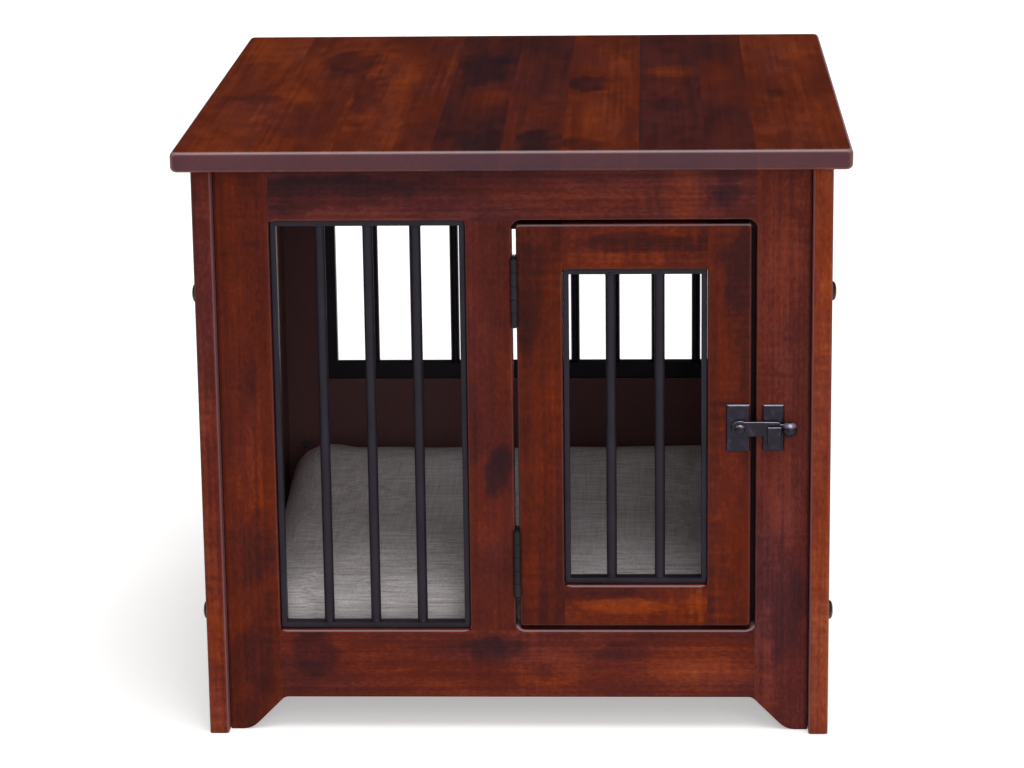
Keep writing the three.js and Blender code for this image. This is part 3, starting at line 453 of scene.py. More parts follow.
def eased_copy(node, ease):
    """A merged copy whose sharp arrises get a narrow bevel, with its broad faces kept flat."""
    piece = merged_copy(node)
    bevel = piece.modifiers.new("eased arrises", "BEVEL")
    bevel.width, bevel.segments = ease, 2
    bevel.limit_method, bevel.angle_limit = "ANGLE", math.radians(32)
    bevel.use_clamp_overlap = False
    piece.modifiers.new("flat faces stay flat", "WEIGHTED_NORMAL")
    return piece


def fit_board(board, node, body, figure, **more):
    """Fits a maple board, which shows the figure of its own part of the log."""
    maple = stained_maple(node + "_stained_maple", *figure, **more)
    fitted(board, maple, body, node)


for node, (*figure, inside) in SIDE_BOARDS.items():
    fit_board(eased_copy(node, ARRIS_EASE), node, "case", figure, inside=inside)

# ---- Front frame ----------------------------------------------------------------------------
# Three stiles and two rails of maple, joined with stub tenons and glued. The openings are
# rounded over with a router after glue-up, and the feet are cut at 45 degrees.

# node: grain, part of the log, tone, warmth, curl, clouds as on the tabletop
FRONT_FRAME = {
    "front_stile_left": ("z", 4, 0.43, 0.80, 0.4, [
        (-246, 180, 30, 40, -0.12, -0.20), (-250, 70, 40, 30, -0.08, -0.15),
        (-238, 300, 16, 120, 0.05, 0.10),
    ]),
    "front_stile_right": ("z", 5, 0.51, 0.38, 0.5, [
        (236, 130, 30, 60, -0.08, -0.20), (250, 420, 30, 120, 0.05, 0.06),
    ]),
    "front_stile_centre": ("z", 6, 0.42, 0.60, 0.4, [
        (-22, 300, 30, 60, -0.06, -0.10), (-26, 210, 20, 40, 0.08, 0.15),
        (-16, 255, 14, 24, -0.12, -0.30),
    ]),
    "front_top_rail": ("x", 7, 0.47, 0.20, 0.4, [
        (-170, 512, 70, 20, -0.14, -0.10), (60, 515, 90, 26, 0.06, 0.10),
        (156, 512, 22, 40, 0.10, 0.30), (196, 522, 14, 30, -0.12, -0.30),
    ]),
    "front_bottom_rail": ("x", 8, 0.47, 0.52, 0.4, [
        (-120, 62, 50, 22, 0.06, 0.15), (30, 60, 40, 26, 0.10, 0.15),
        (-20, 80, 30, 12, -0.12, -0.20), (170, 60, 60, 26, 0.12, 0.10),
        (100, 76, 30, 12, -0.10, -0.20), (-190, 76, 24, 20, -0.12, -0.20),
    ]),
    "door_stop": ("x", 21, 0.42, 0.20, 0.3, []),
}
# a thin strip behind the latch stile, which the closed door also stops against. It is stained
# near black, painted shade for the dark gap beside the door
STRIP_LOW, STRIP_HIGH = (0.2120, -0.2827, 0.0986), (0.2240, -0.2767, 0.4766)
STRIP_CORNER = 0.0012
GLUE_LINE = 0.00028  # how far a shoulder goes on, to leave a closed joint 0.02 mm wide
# the shoulders' planes in metres: axis, place, and the way they go on
FRAME_SHOULDERS = [(0, -0.2214, -1), (0, 0.2214, 1)]
CENTRE_SHOULDERS = [(2, 0.0983, -1), (2, 0.4885, 1), (0, -0.2214, -1), (0, 0.2214, 1)]


def points_of(piece):
    """A mesh's points as an array with a row for each."""
    points = np.zeros(len(piece.data.vertices) * 3)
    piece.data.vertices.foreach_get("co", points)
    return points.reshape(-1, 3)


def glued_copy(node, shoulders):
    """
    A merged copy of a board whose shoulders go on to meet the next board, as glue closes them.
    Arrises sharper than 32 degrees stay sharp, and weighted normals keep the faces flat.
    """
    piece = merged_copy(node)
    places = points_of(piece)
    for axis, plane, way in shoulders:
        places[np.abs(places[:, axis] - plane) < 0.00005, axis] += way * GLUE_LINE
    piece.data.vertices.foreach_set("co", places.ravel())
    piece.data.set_sharp_from_angle(angle=math.radians(32))
    piece.modifiers.new("flat faces stay flat", "WEIGHTED_NORMAL").keep_sharp = True
    return piece


for node, (*figure, clouds) in FRONT_FRAME.items():
    shoulders = CENTRE_SHOULDERS if node == "front_stile_centre" else FRAME_SHOULDERS
    fit_board(glued_copy(node, shoulders), node, "case", figure, clouds=clouds)

strip_across, strip_deep = STRIP_HIGH[0] - STRIP_LOW[0], STRIP_HIGH[1] - STRIP_LOW[1]
strip_plan = rounded_outline(strip_across, strip_deep, STRIP_CORNER, 4)
strip_plan += (STRIP_LOW[0] + strip_across / 2, STRIP_LOW[1] + strip_deep / 2)
# the strip's near-black tone is painted shade for the gap beside the door
fitted(closed_surface("door_stop_strip", [np.stack([
    np.column_stack([strip_plan, np.full(len(strip_plan), z)])
    for z in (STRIP_LOW[2], STRIP_HIGH[2])
])]), stained_maple("door_stop_strip_shade_dark_maple", "z", 22, 0.1, 0.3, 0.3), "case")

# ---- Back frame -----------------------------------------------------------------------------
# Two stiles, a top rail and a deep lower panel of the same boards, joined as the front is.
# One wide barred opening fills the upper part.

BACK_FRAME = {
    "back_stile_left": ("z", 9, 0.48, 0.45, 0.4),
    "back_stile_right": ("z", 10, 0.50, 0.50, 0.4),
    "back_top_rail": ("x", 11, 0.48, 0.46, 0.4),
    "back_lower_panel": ("x", 12, 0.46, 0.44, 0.4),
}
BACK_SHOULDERS = [(0, -0.2341, -1), (0, 0.2341, 1)]
# painted light for the back frame's shaded inner faces: the paler grey they are mixed toward
BACK_INSIDE_LIFT_COLOUR = "#7a5c5e"
for node, figure in BACK_FRAME.items():
    fit_board(glued_copy(node, BACK_SHOULDERS), node, "case", figure, inside=(0, -1, 0),
              bare_wood=BACK_INSIDE_LIFT_COLOUR)

# ---- Door -----------------------------------------------------------------------------------
# Two stiles and two rails of the brightest, most figured maple, rounded over outside and round
# the window. It hangs in the right-hand opening and swings on the hinges.

DOOR_BOARDS = {
    "door_stile_hinge": ("z", 13, 0.37, 0.84, 0.6, [
        (14, 430, 14, 60, -0.10, -0.10), (30, 300, 12, 160, 0.05, 0.05),
        (12, 150, 12, 60, 0.04, 0.05),
    ]),
    "door_stile_latch": ("z", 14, 0.37, 0.80, 0.8, [
        (204, 440, 14, 40, -0.10, -0.20), (190, 370, 14, 60, 0.02, 0.05),
        (196, 200, 24, 110, 0.11, 0.10),
    ]),
    "door_rail_top": ("x", 15, 0.47, 0.82, 0.8, [
        (110, 468, 50, 10, -0.12, -0.10), (100, 452, 50, 9, 0.08, 0.10),
        (190, 470, 40, 16, -0.08, -0.20),
    ]),
    "door_rail_bottom": ("x", 16, 0.45, 0.86, 0.8, [
        (100, 122, 50, 9, 0.20, 0.10), (70, 134, 40, 8, -0.10, -0.10),
        (165, 126, 30, 14, 0.06, 0.05),
    ]),
}
DOOR_SHOULDERS = [(0, 0.0453, -1), (0, 0.1771, 1)]
for node, (*figure, clouds) in DOOR_BOARDS.items():
    fit_board(glued_copy(node, DOOR_SHOULDERS), node, "door", figure, clouds=clouds)

# ---- Floor panel and cleats -----------------------------------------------------------------
# A 12 mm birch plywood panel, stained on its face, lies on two maple cleats screwed to the side
# boards. Two more cleats hold the tabletop.

PLY_GRAIN = (260, 6, 2.0)
PLY_LAYER = 0.0024


def stained_plywood():
    """
    Rotary-cut plywood, stained thinly: broad soft figure on the face, and at the edges five
    layers that turn light and dark by turns.
    """
    made, add = blank_material("floor_stained_plywood")
    point = add("TexCoord", give="Object")
    length, width, detail = PLY_GRAIN
    stretched = add("Mapping", {
        "Vector": point, "Scale": (1000 / length, 1000 / width, 1000 / width),
    })
    grain_lines = add("TexNoise", {
        "Vector": stretched, "Scale": 1.0, "Detail": detail, "Distortion": 0.6,
    })
    face = add("ValToRGB", [grain_lines], stops=[
        (0.3, "#4a2c1c"), (0.5, "#5c3824"), (0.7, "#6e4730"),
    ])
    height = add("SeparateXYZ", [point], give="Z")
    layer = add("Math", {
        0: add("Math", [height, PLY_LAYER], operation="DIVIDE"), 1: 2.0,
    }, operation="MODULO")
    layers = add("ValToRGB", {
        "Fac": add("Math", [layer, 0.5], operation="MULTIPLY"),
    }, stops=[(0.46, "#8a6444"), (0.54, "#4c301f")])
    upward_face = add("SeparateXYZ", {"Vector": add("NewGeometry", give="Normal")}, give="Z")
    flat = add("Math", {
        0: add("Math", [upward_face], operation="ABSOLUTE"), 1: 0.7,
    }, operation="GREATER_THAN")
    colour = add("Mix", {0: flat, 6: layers, 7: face}, give=2, data_type="RGBA")
    normal = add("Bump", {"Height": grain_lines, "Strength": 0.3, "Distance": 0.0002})
    board = add("BsdfPrincipled", {
        "Base Color": colour, "Roughness": 0.6, "IOR": 1.5, "Specular IOR Level": 0.3,
        "Normal": normal,
    })
    add("OutputMaterial", [board])
    return made


fitted(eased_copy("floor_panel", ARRIS_EASE), stained_plywood(), "case",
       "floor_panel")

CLEATS = {
    "floor_cleat_left": ("y", 17, 0.44, 0.5, 0.3), "floor_cleat_right": ("y", 18, 0.46, 0.5, 0.3),
    "top_cleat_left": ("y", 19, 0.43, 0.5, 0.3), "top_cleat_right": ("y", 20, 0.45, 0.5, 0.3),
}
for node, figure in CLEATS.items():
    fit_board(eased_copy(node, ARRIS_EASE), node, "case", figure)

# ---- Grilles --------------------------------------------------------------------------------
# Each is a frame of flat steel bar, mitred and welded, with upright 9.5 mm round rods welded in.
# They are powder-coated black and set into the openings from behind.

ROD_RADIUS = 0.00475
BAR_EASE = 0.0009
WELD_BEAD = 0.0024
# node: body, width of the flat bar, rods, and the distance between them
GRILLES = {
    "window_grille": ("case", 0.0053, 3, 0.0438),
    "door_grille": ("door", 0.0053, 2, 0.0447),
    "back_grille": ("case", 0.018, 9, 0.0437),
}


def powder_coated_steel(name, colour="#1e1823"):
    """
    Black powder coat on mild steel: satin, a shade violet, with the low orange-peel ripple of
    cured powder about 2 mm across and a fine grit in it.
    """
    made, add = blank_material(name)
    point = add("TexCoord", give="Object")
    peel = add("TexNoise", {"Vector": point, "Scale": 480.0, "Detail": 1.0})
    grit = add("TexNoise", {"Vector": point, "Scale": 2600.0, "Detail": 0.0})
    slow = add("TexNoise", {"Vector": point, "Scale": 24.0, "Detail": 2.0})
    tint = add("ValToRGB", [slow], stops=[(0.3, "#19141d"), (0.5, colour), (0.72, "#251e2b")])
    rough = add("MapRange", {
        "Value": peel, "From Min": 0.3, "From Max": 0.7, "To Min": 0.42, "To Max": 0.52,
    })
    relief = add("Math", [grit, 0.35, peel], operation="MULTIPLY_ADD")
    normal = add("Bump", {"Height": relief, "Strength": 0.35, "Distance": 0.0001})
    coat = add("BsdfPrincipled", {
        "Base Color": tint, "Roughness": rough, "IOR": 1.5, "Specular IOR Level": 0.22,
        "Normal": normal,
    })
    add("OutputMaterial", [coat])
    return made


def bar_ring(low, high, bar, ease):
    """
    Flat bar bent round a rectangle between two corner points: its section, a rectangle with
    eased arrises, stands at each mitred corner and is carried from one to the next.
    """
    depth = high[1] - low[1]
    section = rounded_outline(bar, depth, ease, 3) + (bar / 2, depth / 2)
    corners = [(low[0], low[2], 1, 1), (high[0], low[2], -1, 1), (high[0], high[2], -1, -1),
               (low[0], high[2], 1, -1), (low[0], low[2], 1, 1)]
    return np.array([
        np.column_stack([x + way_x * section[:, 0], low[1] + section[:, 1],
                         z + way_z * section[:, 0]])
        for x, z, way_x, way_z in corners
    ])


def welded_rod(x, y, bottom, top):
    """
    An upright round rod. Its radius grows at both ends by a hollow quarter circle, the weld
    bead, and it goes on 2 mm into the bar.
    """
    run = WELD_BEAD * (1 - np.cos(np.linspace(0, math.pi / 2, 6)))
    height = np.concatenate([[bottom - 0.002], bottom + run, (top - run)[::-1], [top + 0.002]])
    near = np.clip(np.minimum(height - bottom, top - height) / WELD_BEAD, 0, 1)
    radius = ROD_RADIUS + WELD_BEAD * (1 - np.sqrt(1 - (1 - near) ** 2))
    angle = np.linspace(0, 2 * math.pi, 28, endpoint=False)
    return np.stack([
        x + np.outer(radius, np.cos(angle)), y + np.outer(radius, np.sin(angle)),
        np.repeat(height[:, None], 28, axis=1),
    ], axis=-1)


grille_coat = powder_coated_steel("grille_powder_coated_steel")
for node, (body, bar, rods, pitch) in GRILLES.items():
    low, high = (np.array(corner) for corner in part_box(node))
    middle, deep = (low[0] + high[0]) / 2, (low[1] + high[1]) / 2
    skins = [bar_ring(low, high, bar, BAR_EASE)]
    for index in range(rods):
        rod_x = middle + (index - (rods - 1) / 2) * pitch
        skins.append(welded_rod(rod_x, deep, low[2] + bar, high[2] - bar))
    welded = closed_surface(node + "_welded", skins, sharp=38)
    fitted(welded, grille_coat, body, node)

# ---- Hinges ---------------------------------------------------------------------------------
# Two 63.5 mm butt hinges of black steel. One leaf is screwed to the centre stile's edge and one
# to the door's, each with three countersunk cross-head screws, and the pin has button heads.

HINGE_EASE = 0.0002
HINGE_HEIGHTS = (0.1635, 0.4223)
HINGE_SCREW_STEP, HINGE_SCREW_STAGGER = 0.0635 / 3, 0.003
HINGE_LEAF, HINGE_PLATE = 0.0014, 0.0155  # a leaf's thickness, and its flat part's width
SCREW_RADIUS, SCREW_SUNK, SCREW_RISE = 0.00198, 0.0003, 0.0001
# the head's rim and underside, the shank's end and its point: radii and heights, in head radii
SHANK_SHARES, SHANK_DEPTHS = (1, 0.45, 0.42, 0.02), (-0.12, -0.7, -3.2, -3.9)


def screw_head(centre, out, radius, rise):
    """
    A cross-head screw. Over its round face the height is a low dome less a cross: a slot is
    0.14 radii wide and its depth falls from the middle out. The shank below tapers to a point.
    """
    share = np.array([0.02, 0.08, 0.14, 0.2, 0.3, 0.42, 0.54, 0.62, 0.8, 1.0])
    angle = np.linspace(0, 2 * math.pi, 32, endpoint=False)
    u, v = np.outer(share, np.cos(angle)), np.outer(share, np.sin(angle))
    arm = np.minimum(np.abs(u), np.abs(v))
    reach = np.maximum(np.abs(u), np.abs(v))
    slot = np.clip((0.16 - arm) / 0.06, 0, 1) * np.clip((0.6 - reach) / 0.5, 0, 1)
    top = rise * (1 - share[:, None] ** 2) - 0.45 * radius * slot
    rows_u, rows_v = (np.concatenate([flat] + [flat[-1:] * share for share in SHANK_SHARES])
                      for flat in (u, v))
    below = np.array(SHANK_DEPTHS)[:, None] * radius * np.ones((1, 32))
    rows_h = np.concatenate([top, below])
    out = Vector(out)
    side = out.orthogonal().normalized()
    other = out.cross(side)
    return (np.array(centre) + rows_u[..., None] * radius * np.array(side)
            + rows_v[..., None] * radius * np.array(other)
            + rows_h[..., None] * np.array(out))


hinge_coat = powder_coated_steel("hinge_black_steel", "#151317")
for level_name, hinge_z in zip(("lower", "upper"), HINGE_HEIGHTS):
    for part, body, way in (("frame_leaf", "case", 1), ("door_leaf", "door", -1),
                            ("pin", "case", 0)):
        node = f"hinge_{level_name}_{part}"
        fitted(eased_copy(node, HINGE_EASE), hinge_coat, body, node)
        if not way:
            continue
        low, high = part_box(node)
        # the leaf's open face, which looks into the gap, and the middle of its flat part
        open_x = low.x + HINGE_LEAF if way > 0 else high.x - HINGE_LEAF
        middle_y = high.y - HINGE_PLATE / 2 + 0.00015
        heads = []
        for index, stagger in enumerate((1, -1, 1)):
            heads.append(screw_head(
                (open_x - way * SCREW_SUNK, middle_y + stagger * HINGE_SCREW_STAGGER,
                 hinge_z + (index - 1) * HINGE_SCREW_STEP), (way, 0, 0), SCREW_RADIUS, SCREW_RISE))
        fitted(closed_surface(node + "_screws", heads, sharp=30), hinge_coat, body)

# ---- Latch ----------------------------------------------------------------------------------
# A drop-bar latch in cast iron, black and worn in patches, with a painted highlight on the
# arrises that look up: two bevelled plates, a bar that turns on a rivet in the door's plate,
# and a hook on the frame's plate that the bar falls into.

PLATE_EASE = 0.0008
# the pale colour of the painted highlight on the latch's upward arrises
IRON_HIGHLIGHT = "#b8aec4"
LATCH_PIVOT = (0.207, 0.294)
BAR_BACK, BAR_FRONT, BAR_ROUNDING = -0.3051, -0.3090, 0.0009
EYE_RADIUS, ARM_HALF, NECK_HALF = 0.008, 0.007, 0.004
ARM_END = 0.244
KNOB_X, KNOB_Z, KNOB_RADIUS, KNOB_Y = 0.2524, 0.295, 0.007, -0.3122


def cast_iron(name):
    """
    Sand-cast iron under black wax: a pebbled skin about 1 mm across, matt in its hollows, and
    brighter, smoother metal in scattered worn patches. Arrises that look up carry a painted
    highlight.
    """
    made, add = blank_material(name)
    point = add("TexCoord", give="Object")
    sand = add("TexNoise", {"Vector": point, "Scale": 900.0, "Detail": 2.0})
    lumps = add("TexNoise", {"Vector": point, "Scale": 160.0, "Detail": 2.0})
    worn = add("MapRange", {"Value": lumps, "From Min": 0.45, "From Max": 0.8})
    tint = add("ValToRGB", [worn], stops=[(0.0, "#1a1521"), (0.6, "#251f2e"), (1.0, "#453e52")])
    # painted highlight: arrises that look up are mixed toward a pale violet grey
    _, _, widest, upward = facing(add)
    arris = add("MapRange", {"Value": widest, "From Min": 0.97, "From Max": 0.85})
    brightened = add("MapRange", {"Value": upward, "From Min": 0.25, "From Max": 0.6, "To Max": 0.7})
    brightened = add("Math", [arris, brightened], operation="MULTIPLY")
    tint = add("Mix", {0: brightened, 6: tint, 7: linear(IRON_HIGHLIGHT)}, give=2, data_type="RGBA")
    rough = add("MapRange", {"Value": worn, "To Min": 0.4, "To Max": 0.28})
    relief = add("Math", [sand, 0.4, lumps], operation="MULTIPLY_ADD")
    normal = add("Bump", {"Height": relief, "Strength": 0.35, "Distance": 0.0003})
    iron = add("BsdfPrincipled", {
        "Base Color": tint, "Roughness": rough, "Metallic": 0.6, "Normal": normal,
    })
    add("OutputMaterial", [iron])
    return made


def inset_outline(outline, inset):
    """A closed outline moved in along its own normals, which halve the angle at each point."""
    ahead_side = np.roll(outline, -1, axis=0) - outline
    behind_side = outline - np.roll(outline, 1, axis=0)
    ahead_side /= np.linalg.norm(ahead_side, axis=1)[:, None]
    behind_side /= np.linalg.norm(behind_side, axis=1)[:, None]
    along = ahead_side + behind_side
    along /= np.linalg.norm(along, axis=1)[:, None]
    return outline + inset * np.stack([-along[:, 1], along[:, 0]], 1)


def latch_bar_outline():
    """The bar from the front: round the eye, along the arm, round its shoulder, to the neck."""
    x, z = LATCH_PIVOT
    leave = math.asin(ARM_HALF / EYE_RADIUS)
    eye = np.linspace(leave, 2 * math.pi - leave, 36)
    points = [np.stack([x + EYE_RADIUS * np.cos(eye), z + EYE_RADIUS * np.sin(eye)], 1)]
    turn = np.linspace(0, math.pi / 2, 8)
    lower = np.stack([ARM_END - 0.004 + 0.004 * np.sin(turn),
                      z - ARM_HALF + 0.0035 * (1 - np.cos(turn))], 1)
    upper = np.stack([ARM_END - 0.004 + 0.004 * np.sin(turn),
                      z + ARM_HALF - 0.0025 * (1 - np.cos(turn))], 1)[::-1]
    arm = np.linspace(x + EYE_RADIUS + 0.002, ARM_END - 0.006, 10)
    points += [np.stack([arm, np.full(10, z - ARM_HALF)], 1), lower,
               np.array([[ARM_END + 0.0015, KNOB_Z - NECK_HALF], [KNOB_X, KNOB_Z - NECK_HALF],
                         [KNOB_X, KNOB_Z + NECK_HALF], [ARM_END + 0.0015, KNOB_Z + NECK_HALF]]),
               upper, np.stack([arm, np.full(10, z + ARM_HALF)], 1)[::-1]]
    return np.concatenate(points)


def latch_bar_skins():
    """The outline carried from back to front with both arrises rounded, and a ball knob."""
    outline = latch_bar_outline()
    edge = quarter_round(BAR_ROUNDING, 4)
    levels = [(inset, BAR_BACK - drop) for inset, drop in edge]
    levels += [(inset, BAR_FRONT + drop) for inset, drop in edge[::-1]]
    rings = []
    for inset, y in levels:
        flat = inset_outline(outline, inset)
        rings.append(np.column_stack([flat[:, 0], np.full(len(flat), y), flat[:, 1]]))
    polar = np.linspace(0.06, math.pi - 0.06, 26)
    round_it = np.linspace(0, 2 * math.pi, 40, endpoint=False)
    ball = np.stack([
        KNOB_X + KNOB_RADIUS * np.outer(np.sin(polar), np.cos(round_it)),
        KNOB_Y - KNOB_RADIUS * np.repeat(np.cos(polar)[:, None], 40, axis=1),
        KNOB_Z + KNOB_RADIUS * np.outer(np.sin(polar), np.sin(round_it)),
    ], axis=-1)
    return [np.array(rings), ball]


def turned(profile, centre, steps=40):
    """A profile of radii and heights turned about the Y axis through a point."""
    angle = np.linspace(0, 2 * math.pi, steps, endpoint=False)
    radius, y = np.array(profile).T
    return np.stack([
        centre[0] + np.outer(radius, np.cos(angle)), np.repeat(y[:, None], steps, axis=1),
        centre[1] + np.outer(radius, np.sin(angle)),
    ], axis=-1)


iron_skin = cast_iron("latch_cast_iron")
for node, body in (("latch_plate", "door"), ("keeper", "case")):
    fitted(eased_copy(node, PLATE_EASE), iron_skin, body, node)
drop_bar = closed_surface("latch_bar_cast", latch_bar_skins(), sharp=50)
fitted(drop_bar, iron_skin, "latch", "latch_bar")

# the rivet's radii and places on Y: its foot, its shank, the domed head and the dome's middle
dome = np.linspace(0, math.pi / 2, 9)[:-1]
rivet_profile = [(0.0001, -0.3024), (0.0024, -0.3024), (0.0024, -0.3093), (0.0046, -0.3093)]
rivet_profile += [(0.0048 * math.cos(a), -0.3095 - 0.0026 * math.sin(a)) for a in dome]
rivet_profile += [(0.0002, -0.3121)]
rivet = closed_surface("latch_rivet_peened", [turned(rivet_profile, LATCH_PIVOT)], sharp=50)
fitted(rivet, iron_skin, "door", "latch_rivet")

# ---- Connector bolts and barrel nuts --------------------------------------------------------
# Eight steel connector bolts with low domed heads and hexagon sockets, finished dark bronze,
# draw the side boards onto the stiles. Each threads into a zinc-plated barrel nut.

BOLT_HEAD_RADIUS, BOLT_RISE, BOLT_SOCKET_HALF, BOLT_SOCKET_DEPTH = 0.00875, 0.0044, 0.0025, 0.003
BOLT_SHANK_RADIUS, BOLT_SHANK_END = 0.003, 0.0415
NUT_EASE = 0.0003


def bronzed_steel():
    """Steel, chemically bronzed: dark brown, satin, a little brighter in rubbed patches."""
    made, add = blank_material("bolt_bronzed_steel")
    point = add("TexCoord", give="Object")
    brightened = add("TexNoise", {"Vector": point, "Scale": 260.0, "Detail": 3.0})
    tint = add("ValToRGB", [brightened], stops=[
        (0.35, "#2a1d18"), (0.55, "#3d2c22"), (0.75, "#5b4333"),
    ])
    rough = add("MapRange", {"Value": brightened, "To Min": 0.5, "To Max": 0.3})
    steel = add("BsdfPrincipled", {"Base Color": tint, "Roughness": rough, "Metallic": 0.8})
    add("OutputMaterial", [steel])
    return made


def zinc_plated_steel():
    """Bright zinc over steel: pale grey, with faint turning marks 0.6 mm apart."""
    made, add = blank_material("nut_zinc_plated_steel")
    point = add("TexCoord", give="Object")
    marks = add("TexNoise", {
        "Vector": add("Mapping", {"Vector": point, "Scale": (60, 1600, 60)}),
        "Scale": 1.0, "Detail": 1.0,
    })
    tint = add("ValToRGB", [marks], stops=[(0.3, "#8d8f92"), (0.7, "#b4b6b8")])
    steel = add("BsdfPrincipled", {"Base Color": tint, "Roughness": 0.35, "Metallic": 1.0})
    add("OutputMaterial", [steel])
    return made


def connector_bolt(side, seat_x, y, z):
    """
    Rings round the bolt's axis: the floor and walls of a hexagon socket, whose radius is half
    its width over the cosine of the angle from a flat's middle, then circles over the dome,
    under the head and down the shank.
    """
    angle = np.linspace(0, 2 * math.pi, 48, endpoint=False)
    off_flat = np.mod(angle, math.pi / 3) - math.pi / 6
    hexagon = BOLT_SOCKET_HALF / np.cos(off_flat)
    circle = np.ones(48)
    lip = hexagon + 0.0003
    rings = [(hexagon * 0.02, BOLT_RISE - BOLT_SOCKET_DEPTH),
             (hexagon, BOLT_RISE - BOLT_SOCKET_DEPTH),
             (hexagon, BOLT_RISE - 0.0004), (lip, BOLT_RISE - 0.0001)]
    for a in np.linspace(1.12, 0, 8):
        rings.append((circle * BOLT_HEAD_RADIUS * math.cos(a) ** 0.75,
                      0.001 + (BOLT_RISE - 0.001) * math.sin(a)))
    rings += [(circle * BOLT_HEAD_RADIUS, 0.0003), (circle * (BOLT_HEAD_RADIUS - 0.0003), 0.0),
              (circle * BOLT_SHANK_RADIUS, 0.0),
              (circle * BOLT_SHANK_RADIUS, -BOLT_SHANK_END + 0.001),
              (circle * BOLT_SHANK_RADIUS * 0.7, -BOLT_SHANK_END)]
    return np.array([
        np.column_stack([np.full(48, seat_x + side * out), y + radius * np.cos(angle),
                         z + radius * np.sin(angle)])
        for radius, out in rings
    ])


bolt_steel, nut_steel = bronzed_steel(), zinc_plated_steel()
for corner in [f"{end}_{hand}_{height}" for end in ("front", "back")
               for hand in ("left", "right") for height in ("lower", "upper")]:
    side = 1 if "right" in corner else -1
    bolt_node, nut_node = "side_bolt_" + corner, "barrel_nut_" + corner
    low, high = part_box(bolt_node)
    seat_x = (high.x if side > 0 else low.x) - side * BOLT_RISE
    skin = connector_bolt(side, seat_x, (low.y + high.y) / 2, (low.z + high.z) / 2)
    bolt = closed_surface(bolt_node + "_turned", [skin], sharp=35)
    fitted(bolt, bolt_steel, "case", bolt_node)
    fitted(eased_copy(nut_node, NUT_EASE), nut_steel, "case", nut_node)

# ---- Cushion --------------------------------------------------------------------------------
# A loose foam-filled cushion in a heathered grey woven cover. It fills the floor from one side
# board to the other, and a sewn welt runs round it below half its height.

CUSHION_VOXEL = 0.006
CUSHION_CAP = 0.006
CUSHION_STRETCH = 1.027
CUSHION_ROOM_X, CUSHION_ROOM_Y = 0.2690, 0.2800  # it stays off the walls and grilles
CUSHION_OVER = 0.004  # how far its crown may stand over the CAD's
SIDE_START, SIDE_RUN, SIDE_RISE = 0.19, 0.06, 0.2  # where its sides stand up, and by how much
DIMPLE, CUSHION_PRESSURE, CUSHION_STEPS = 0.0011, 4, 20
CROWN_EDGE = 0.045
WELT_HEIGHT, WELT_RADIUS = 0.022, 0.0016


def heathered_weave():
    """
    Plain-woven cotton and polyester in mixed greys. Threads are drawn 2.2 mm apart, coarser
    than they are, so that they show. Weft threads vary in shade over 60 mm, with slubs.
    """
    made, add = blank_material("cushion_heathered_weave")
    point = add("Attribute", give="Vector", attribute_name="weave")
    patterns = {
        "weft": (1 / 55, 1 / 2.4, 1.0), "warp": (1 / 2.2, 1 / 70, 1.0),
        "slub": (1 / 22, 1 / 3.0, 0.0), "soil": (1 / 70, 1 / 70, 2.0),
    }
    seen = {}
    for word, (by_x, by_y, detail) in patterns.items():
        laid = add("Mapping", {"Vector": point, "Scale": (by_x, by_y, 1.0)})
        seen[word] = add("TexNoise", {"Vector": laid, "Scale": 1.0, "Detail": detail})
    shade = 0.0
    for word, weight in {"weft": 0.55, "warp": 0.3, "slub": 0.25, "soil": 0.25}.items():
        shade = add("Math", [seen[word], weight, shade], operation="MULTIPLY_ADD")
    tint = add("ValToRGB", [shade], stops=[
        (0.42, "#8f8581"), (0.58, "#a9a1a0"), (0.72, "#bcb6b7"), (0.88, "#d0cccf"),
    ])
    # over and under: the product of two waves, one thread's width in each direction
    waves = []
    for direction in (0, 1):
        along = add("SeparateXYZ", [point], give=direction)
        phase = add("Math", [along, math.pi / 1.1], operation="MULTIPLY")
        waves.append(add("Math", [phase], operation="SINE"))
    over = add("Math", [waves[0], waves[1]], operation="MULTIPLY")
    relief = add("Math", [seen["slub"], 1.2, over], operation="MULTIPLY_ADD")
    normal = add("Bump", {"Height": relief, "Strength": 0.4, "Distance": 0.0004})
    cloth = add("BsdfPrincipled", {
        "Base Color": tint, "Roughness": 0.92, "Specular IOR Level": 0.15,
        "Sheen Weight": 0.15, "Sheen Roughness": 0.5, "Normal": normal,
    })
    add("OutputMaterial", [cloth])
    return made


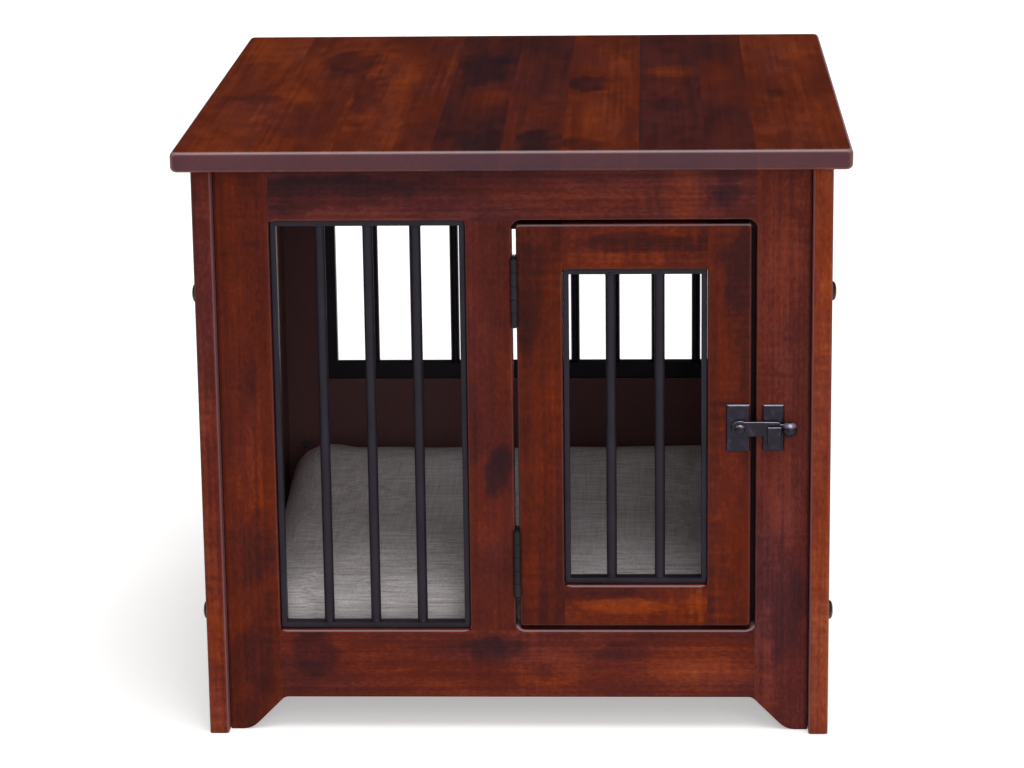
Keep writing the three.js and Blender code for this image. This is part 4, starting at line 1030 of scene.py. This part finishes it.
def swollen_cushion():
    """
    The CAD solid, remeshed in even quads and blown up as cloth under pressure. No point moves
    further than the cap or into a wall, and it is flat where it rests on the floor panel.
    """
    low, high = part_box("cushion")
    piece = merged_copy("cushion", "cushion_cover", flatten=False)
    voxels = piece.modifiers.new("even quads", "REMESH")
    voxels.mode, voxels.voxel_size = "VOXEL", CUSHION_VOXEL
    smooth = piece.modifiers.new("soft", "CORRECTIVE_SMOOTH")
    smooth.use_only_smooth, smooth.iterations = True, 6
    bpy.context.view_layer.objects.active = piece
    bpy.ops.object.modifier_apply(modifier="even quads")
    bpy.ops.object.modifier_apply(modifier="soft")
    # a full cushion stands up steeply at its sides, and reaches the side boards
    start = points_of(piece)
    edge = np.clip((np.abs(start[:, 0]) - SIDE_START) / SIDE_RUN, 0, 1)
    start[:, 0] *= CUSHION_STRETCH
    start[:, 2] = low.z + (start[:, 2] - low.z) * (1 + SIDE_RISE * edge)
    # soft dimples over the top, about 90 mm apart and 1.5 mm deep
    x, y = start[:, 0] * 1000, start[:, 1] * 1000
    dimple = (np.sin(x / 31 + 0.7 * np.sin(y / 47)) * np.sin(y / 37 + 0.9 * np.sin(x / 53 + 1))
              + 0.6 * np.sin(x / 17 + y / 61) * np.sin(y / 19 - x / 71))
    upper = np.clip((start[:, 2] - low.z - 0.03) / 0.02, 0, 1)
    start[:, 2] += DIMPLE * dimple * upper
    piece.data.vertices.foreach_set("co", start.ravel())
    cloth = piece.modifiers.new("stuffing", "CLOTH")
    cloth.settings.use_pressure = True
    cloth.settings.uniform_pressure_force = CUSHION_PRESSURE
    cloth.settings.effector_weights.gravity = 0
    cloth.point_cache.frame_start, cloth.point_cache.frame_end = 1, CUSHION_STEPS
    for step in range(1, CUSHION_STEPS + 1):
        bpy.context.scene.frame_set(step)
    blown = points_of(piece.evaluated_get(bpy.context.evaluated_depsgraph_get()))
    piece.modifiers.remove(cloth)
    bpy.context.scene.frame_set(1)
    moved = blown - start
    far = np.linalg.norm(moved, axis=1)[:, None]
    start = start + moved * np.minimum(1, CUSHION_CAP / np.maximum(far, 1e-9))
    piece.data.vertices.foreach_set("co", start.ravel())
    even = piece.modifiers.new("even", "SMOOTH")
    even.factor, even.iterations = 0.5, 6
    bpy.ops.object.modifier_apply(modifier="even")
    start = np.clip(points_of(piece), (-CUSHION_ROOM_X, -CUSHION_ROOM_Y, low.z),
                    (CUSHION_ROOM_X, CUSHION_ROOM_Y, high.z + CUSHION_OVER))
    piece.data.vertices.foreach_set("co", start.ravel())
    return piece, start, low.z


def unrolled(points, normals, base):
    """
    Where each point lies on the flat cloth, in millimetres: its X and Y on top, and down the
    sides as far again out along the side's own normal as it hangs below the crown's edge.
    """
    drop = np.clip(base + CROWN_EDGE - points[:, 2], 0, None)[:, None]
    flat = normals[:, :2] / np.maximum(np.linalg.norm(normals[:, :2], axis=1), 1e-6)[:, None]
    sideways = np.clip(1.4 - np.abs(normals[:, 2:]) * 1.4, 0, 1)
    reach = points[:, :2] + flat * drop * sideways
    return np.column_stack([reach, points[:, 2:]]) * 1000


def welt_grid(piece, base):
    """A thin round cord that follows the cushion's widest line, found by looking inwards."""
    tree = BVHTree.FromObject(piece, bpy.context.evaluated_depsgraph_get())
    turn = np.linspace(0, 2 * math.pi, 320, endpoint=False)
    heights = base + WELT_HEIGHT
    path = []
    for a in turn:
        out = Vector((math.cos(a), math.sin(a), 0))
        hit = tree.ray_cast(Vector((0, 0, heights)) + out * 0.6, -out)[0]
        path.append(hit - out * 0.0004)
    path = np.array(path)
    for _ in range(4):
        path = (np.roll(path, 1, axis=0) + 2 * path + np.roll(path, -1, axis=0)) / 4
    along = np.roll(path, -1, axis=0) - np.roll(path, 1, axis=0)
    along /= np.linalg.norm(along, axis=1)[:, None]
    outward = np.cross(along, (0, 0, 1))
    angle = np.linspace(0, 2 * math.pi, 10, endpoint=False)
    ring = (path[:, None] + WELT_RADIUS * (np.cos(angle)[None, :, None] * outward[:, None]
                                           + np.sin(angle)[None, :, None] * np.array((0, 0, 1))))
    return np.concatenate([ring, ring[:1]])


weave = heathered_weave()
cushion, cushion_points, cushion_base = swollen_cushion()
cushion_normals = np.zeros(len(cushion_points) * 3, np.float32)
cushion.data.update()
cushion.data.vertex_normals.foreach_get("vector", cushion_normals)
laid = cushion.data.attributes.new("weave", "FLOAT_VECTOR", "POINT")
laid.data.foreach_set("vector", unrolled(
    cushion_points, cushion_normals.reshape(-1, 3), cushion_base).astype(np.float32).ravel())
cushion.data.shade_smooth()
fine = cushion.modifiers.new("rounder", "SUBSURF")
fine.levels = fine.render_levels = 1
fitted(cushion, weave, "case", "cushion")

welt = closed_surface("cushion_welt", [welt_grid(cushion, cushion_base)], sharp=60)
welt_laid = welt.data.attributes.new("weave", "FLOAT_VECTOR", "POINT")
welt_laid.data.foreach_set("vector", (points_of(welt).ravel() * 1000).astype(np.float32))
fitted(welt, weave, "case")

# ---- View -----------------------------------------------------------------------------------
# Plain colours.

bpy.context.scene.view_settings.view_transform = "Standard"
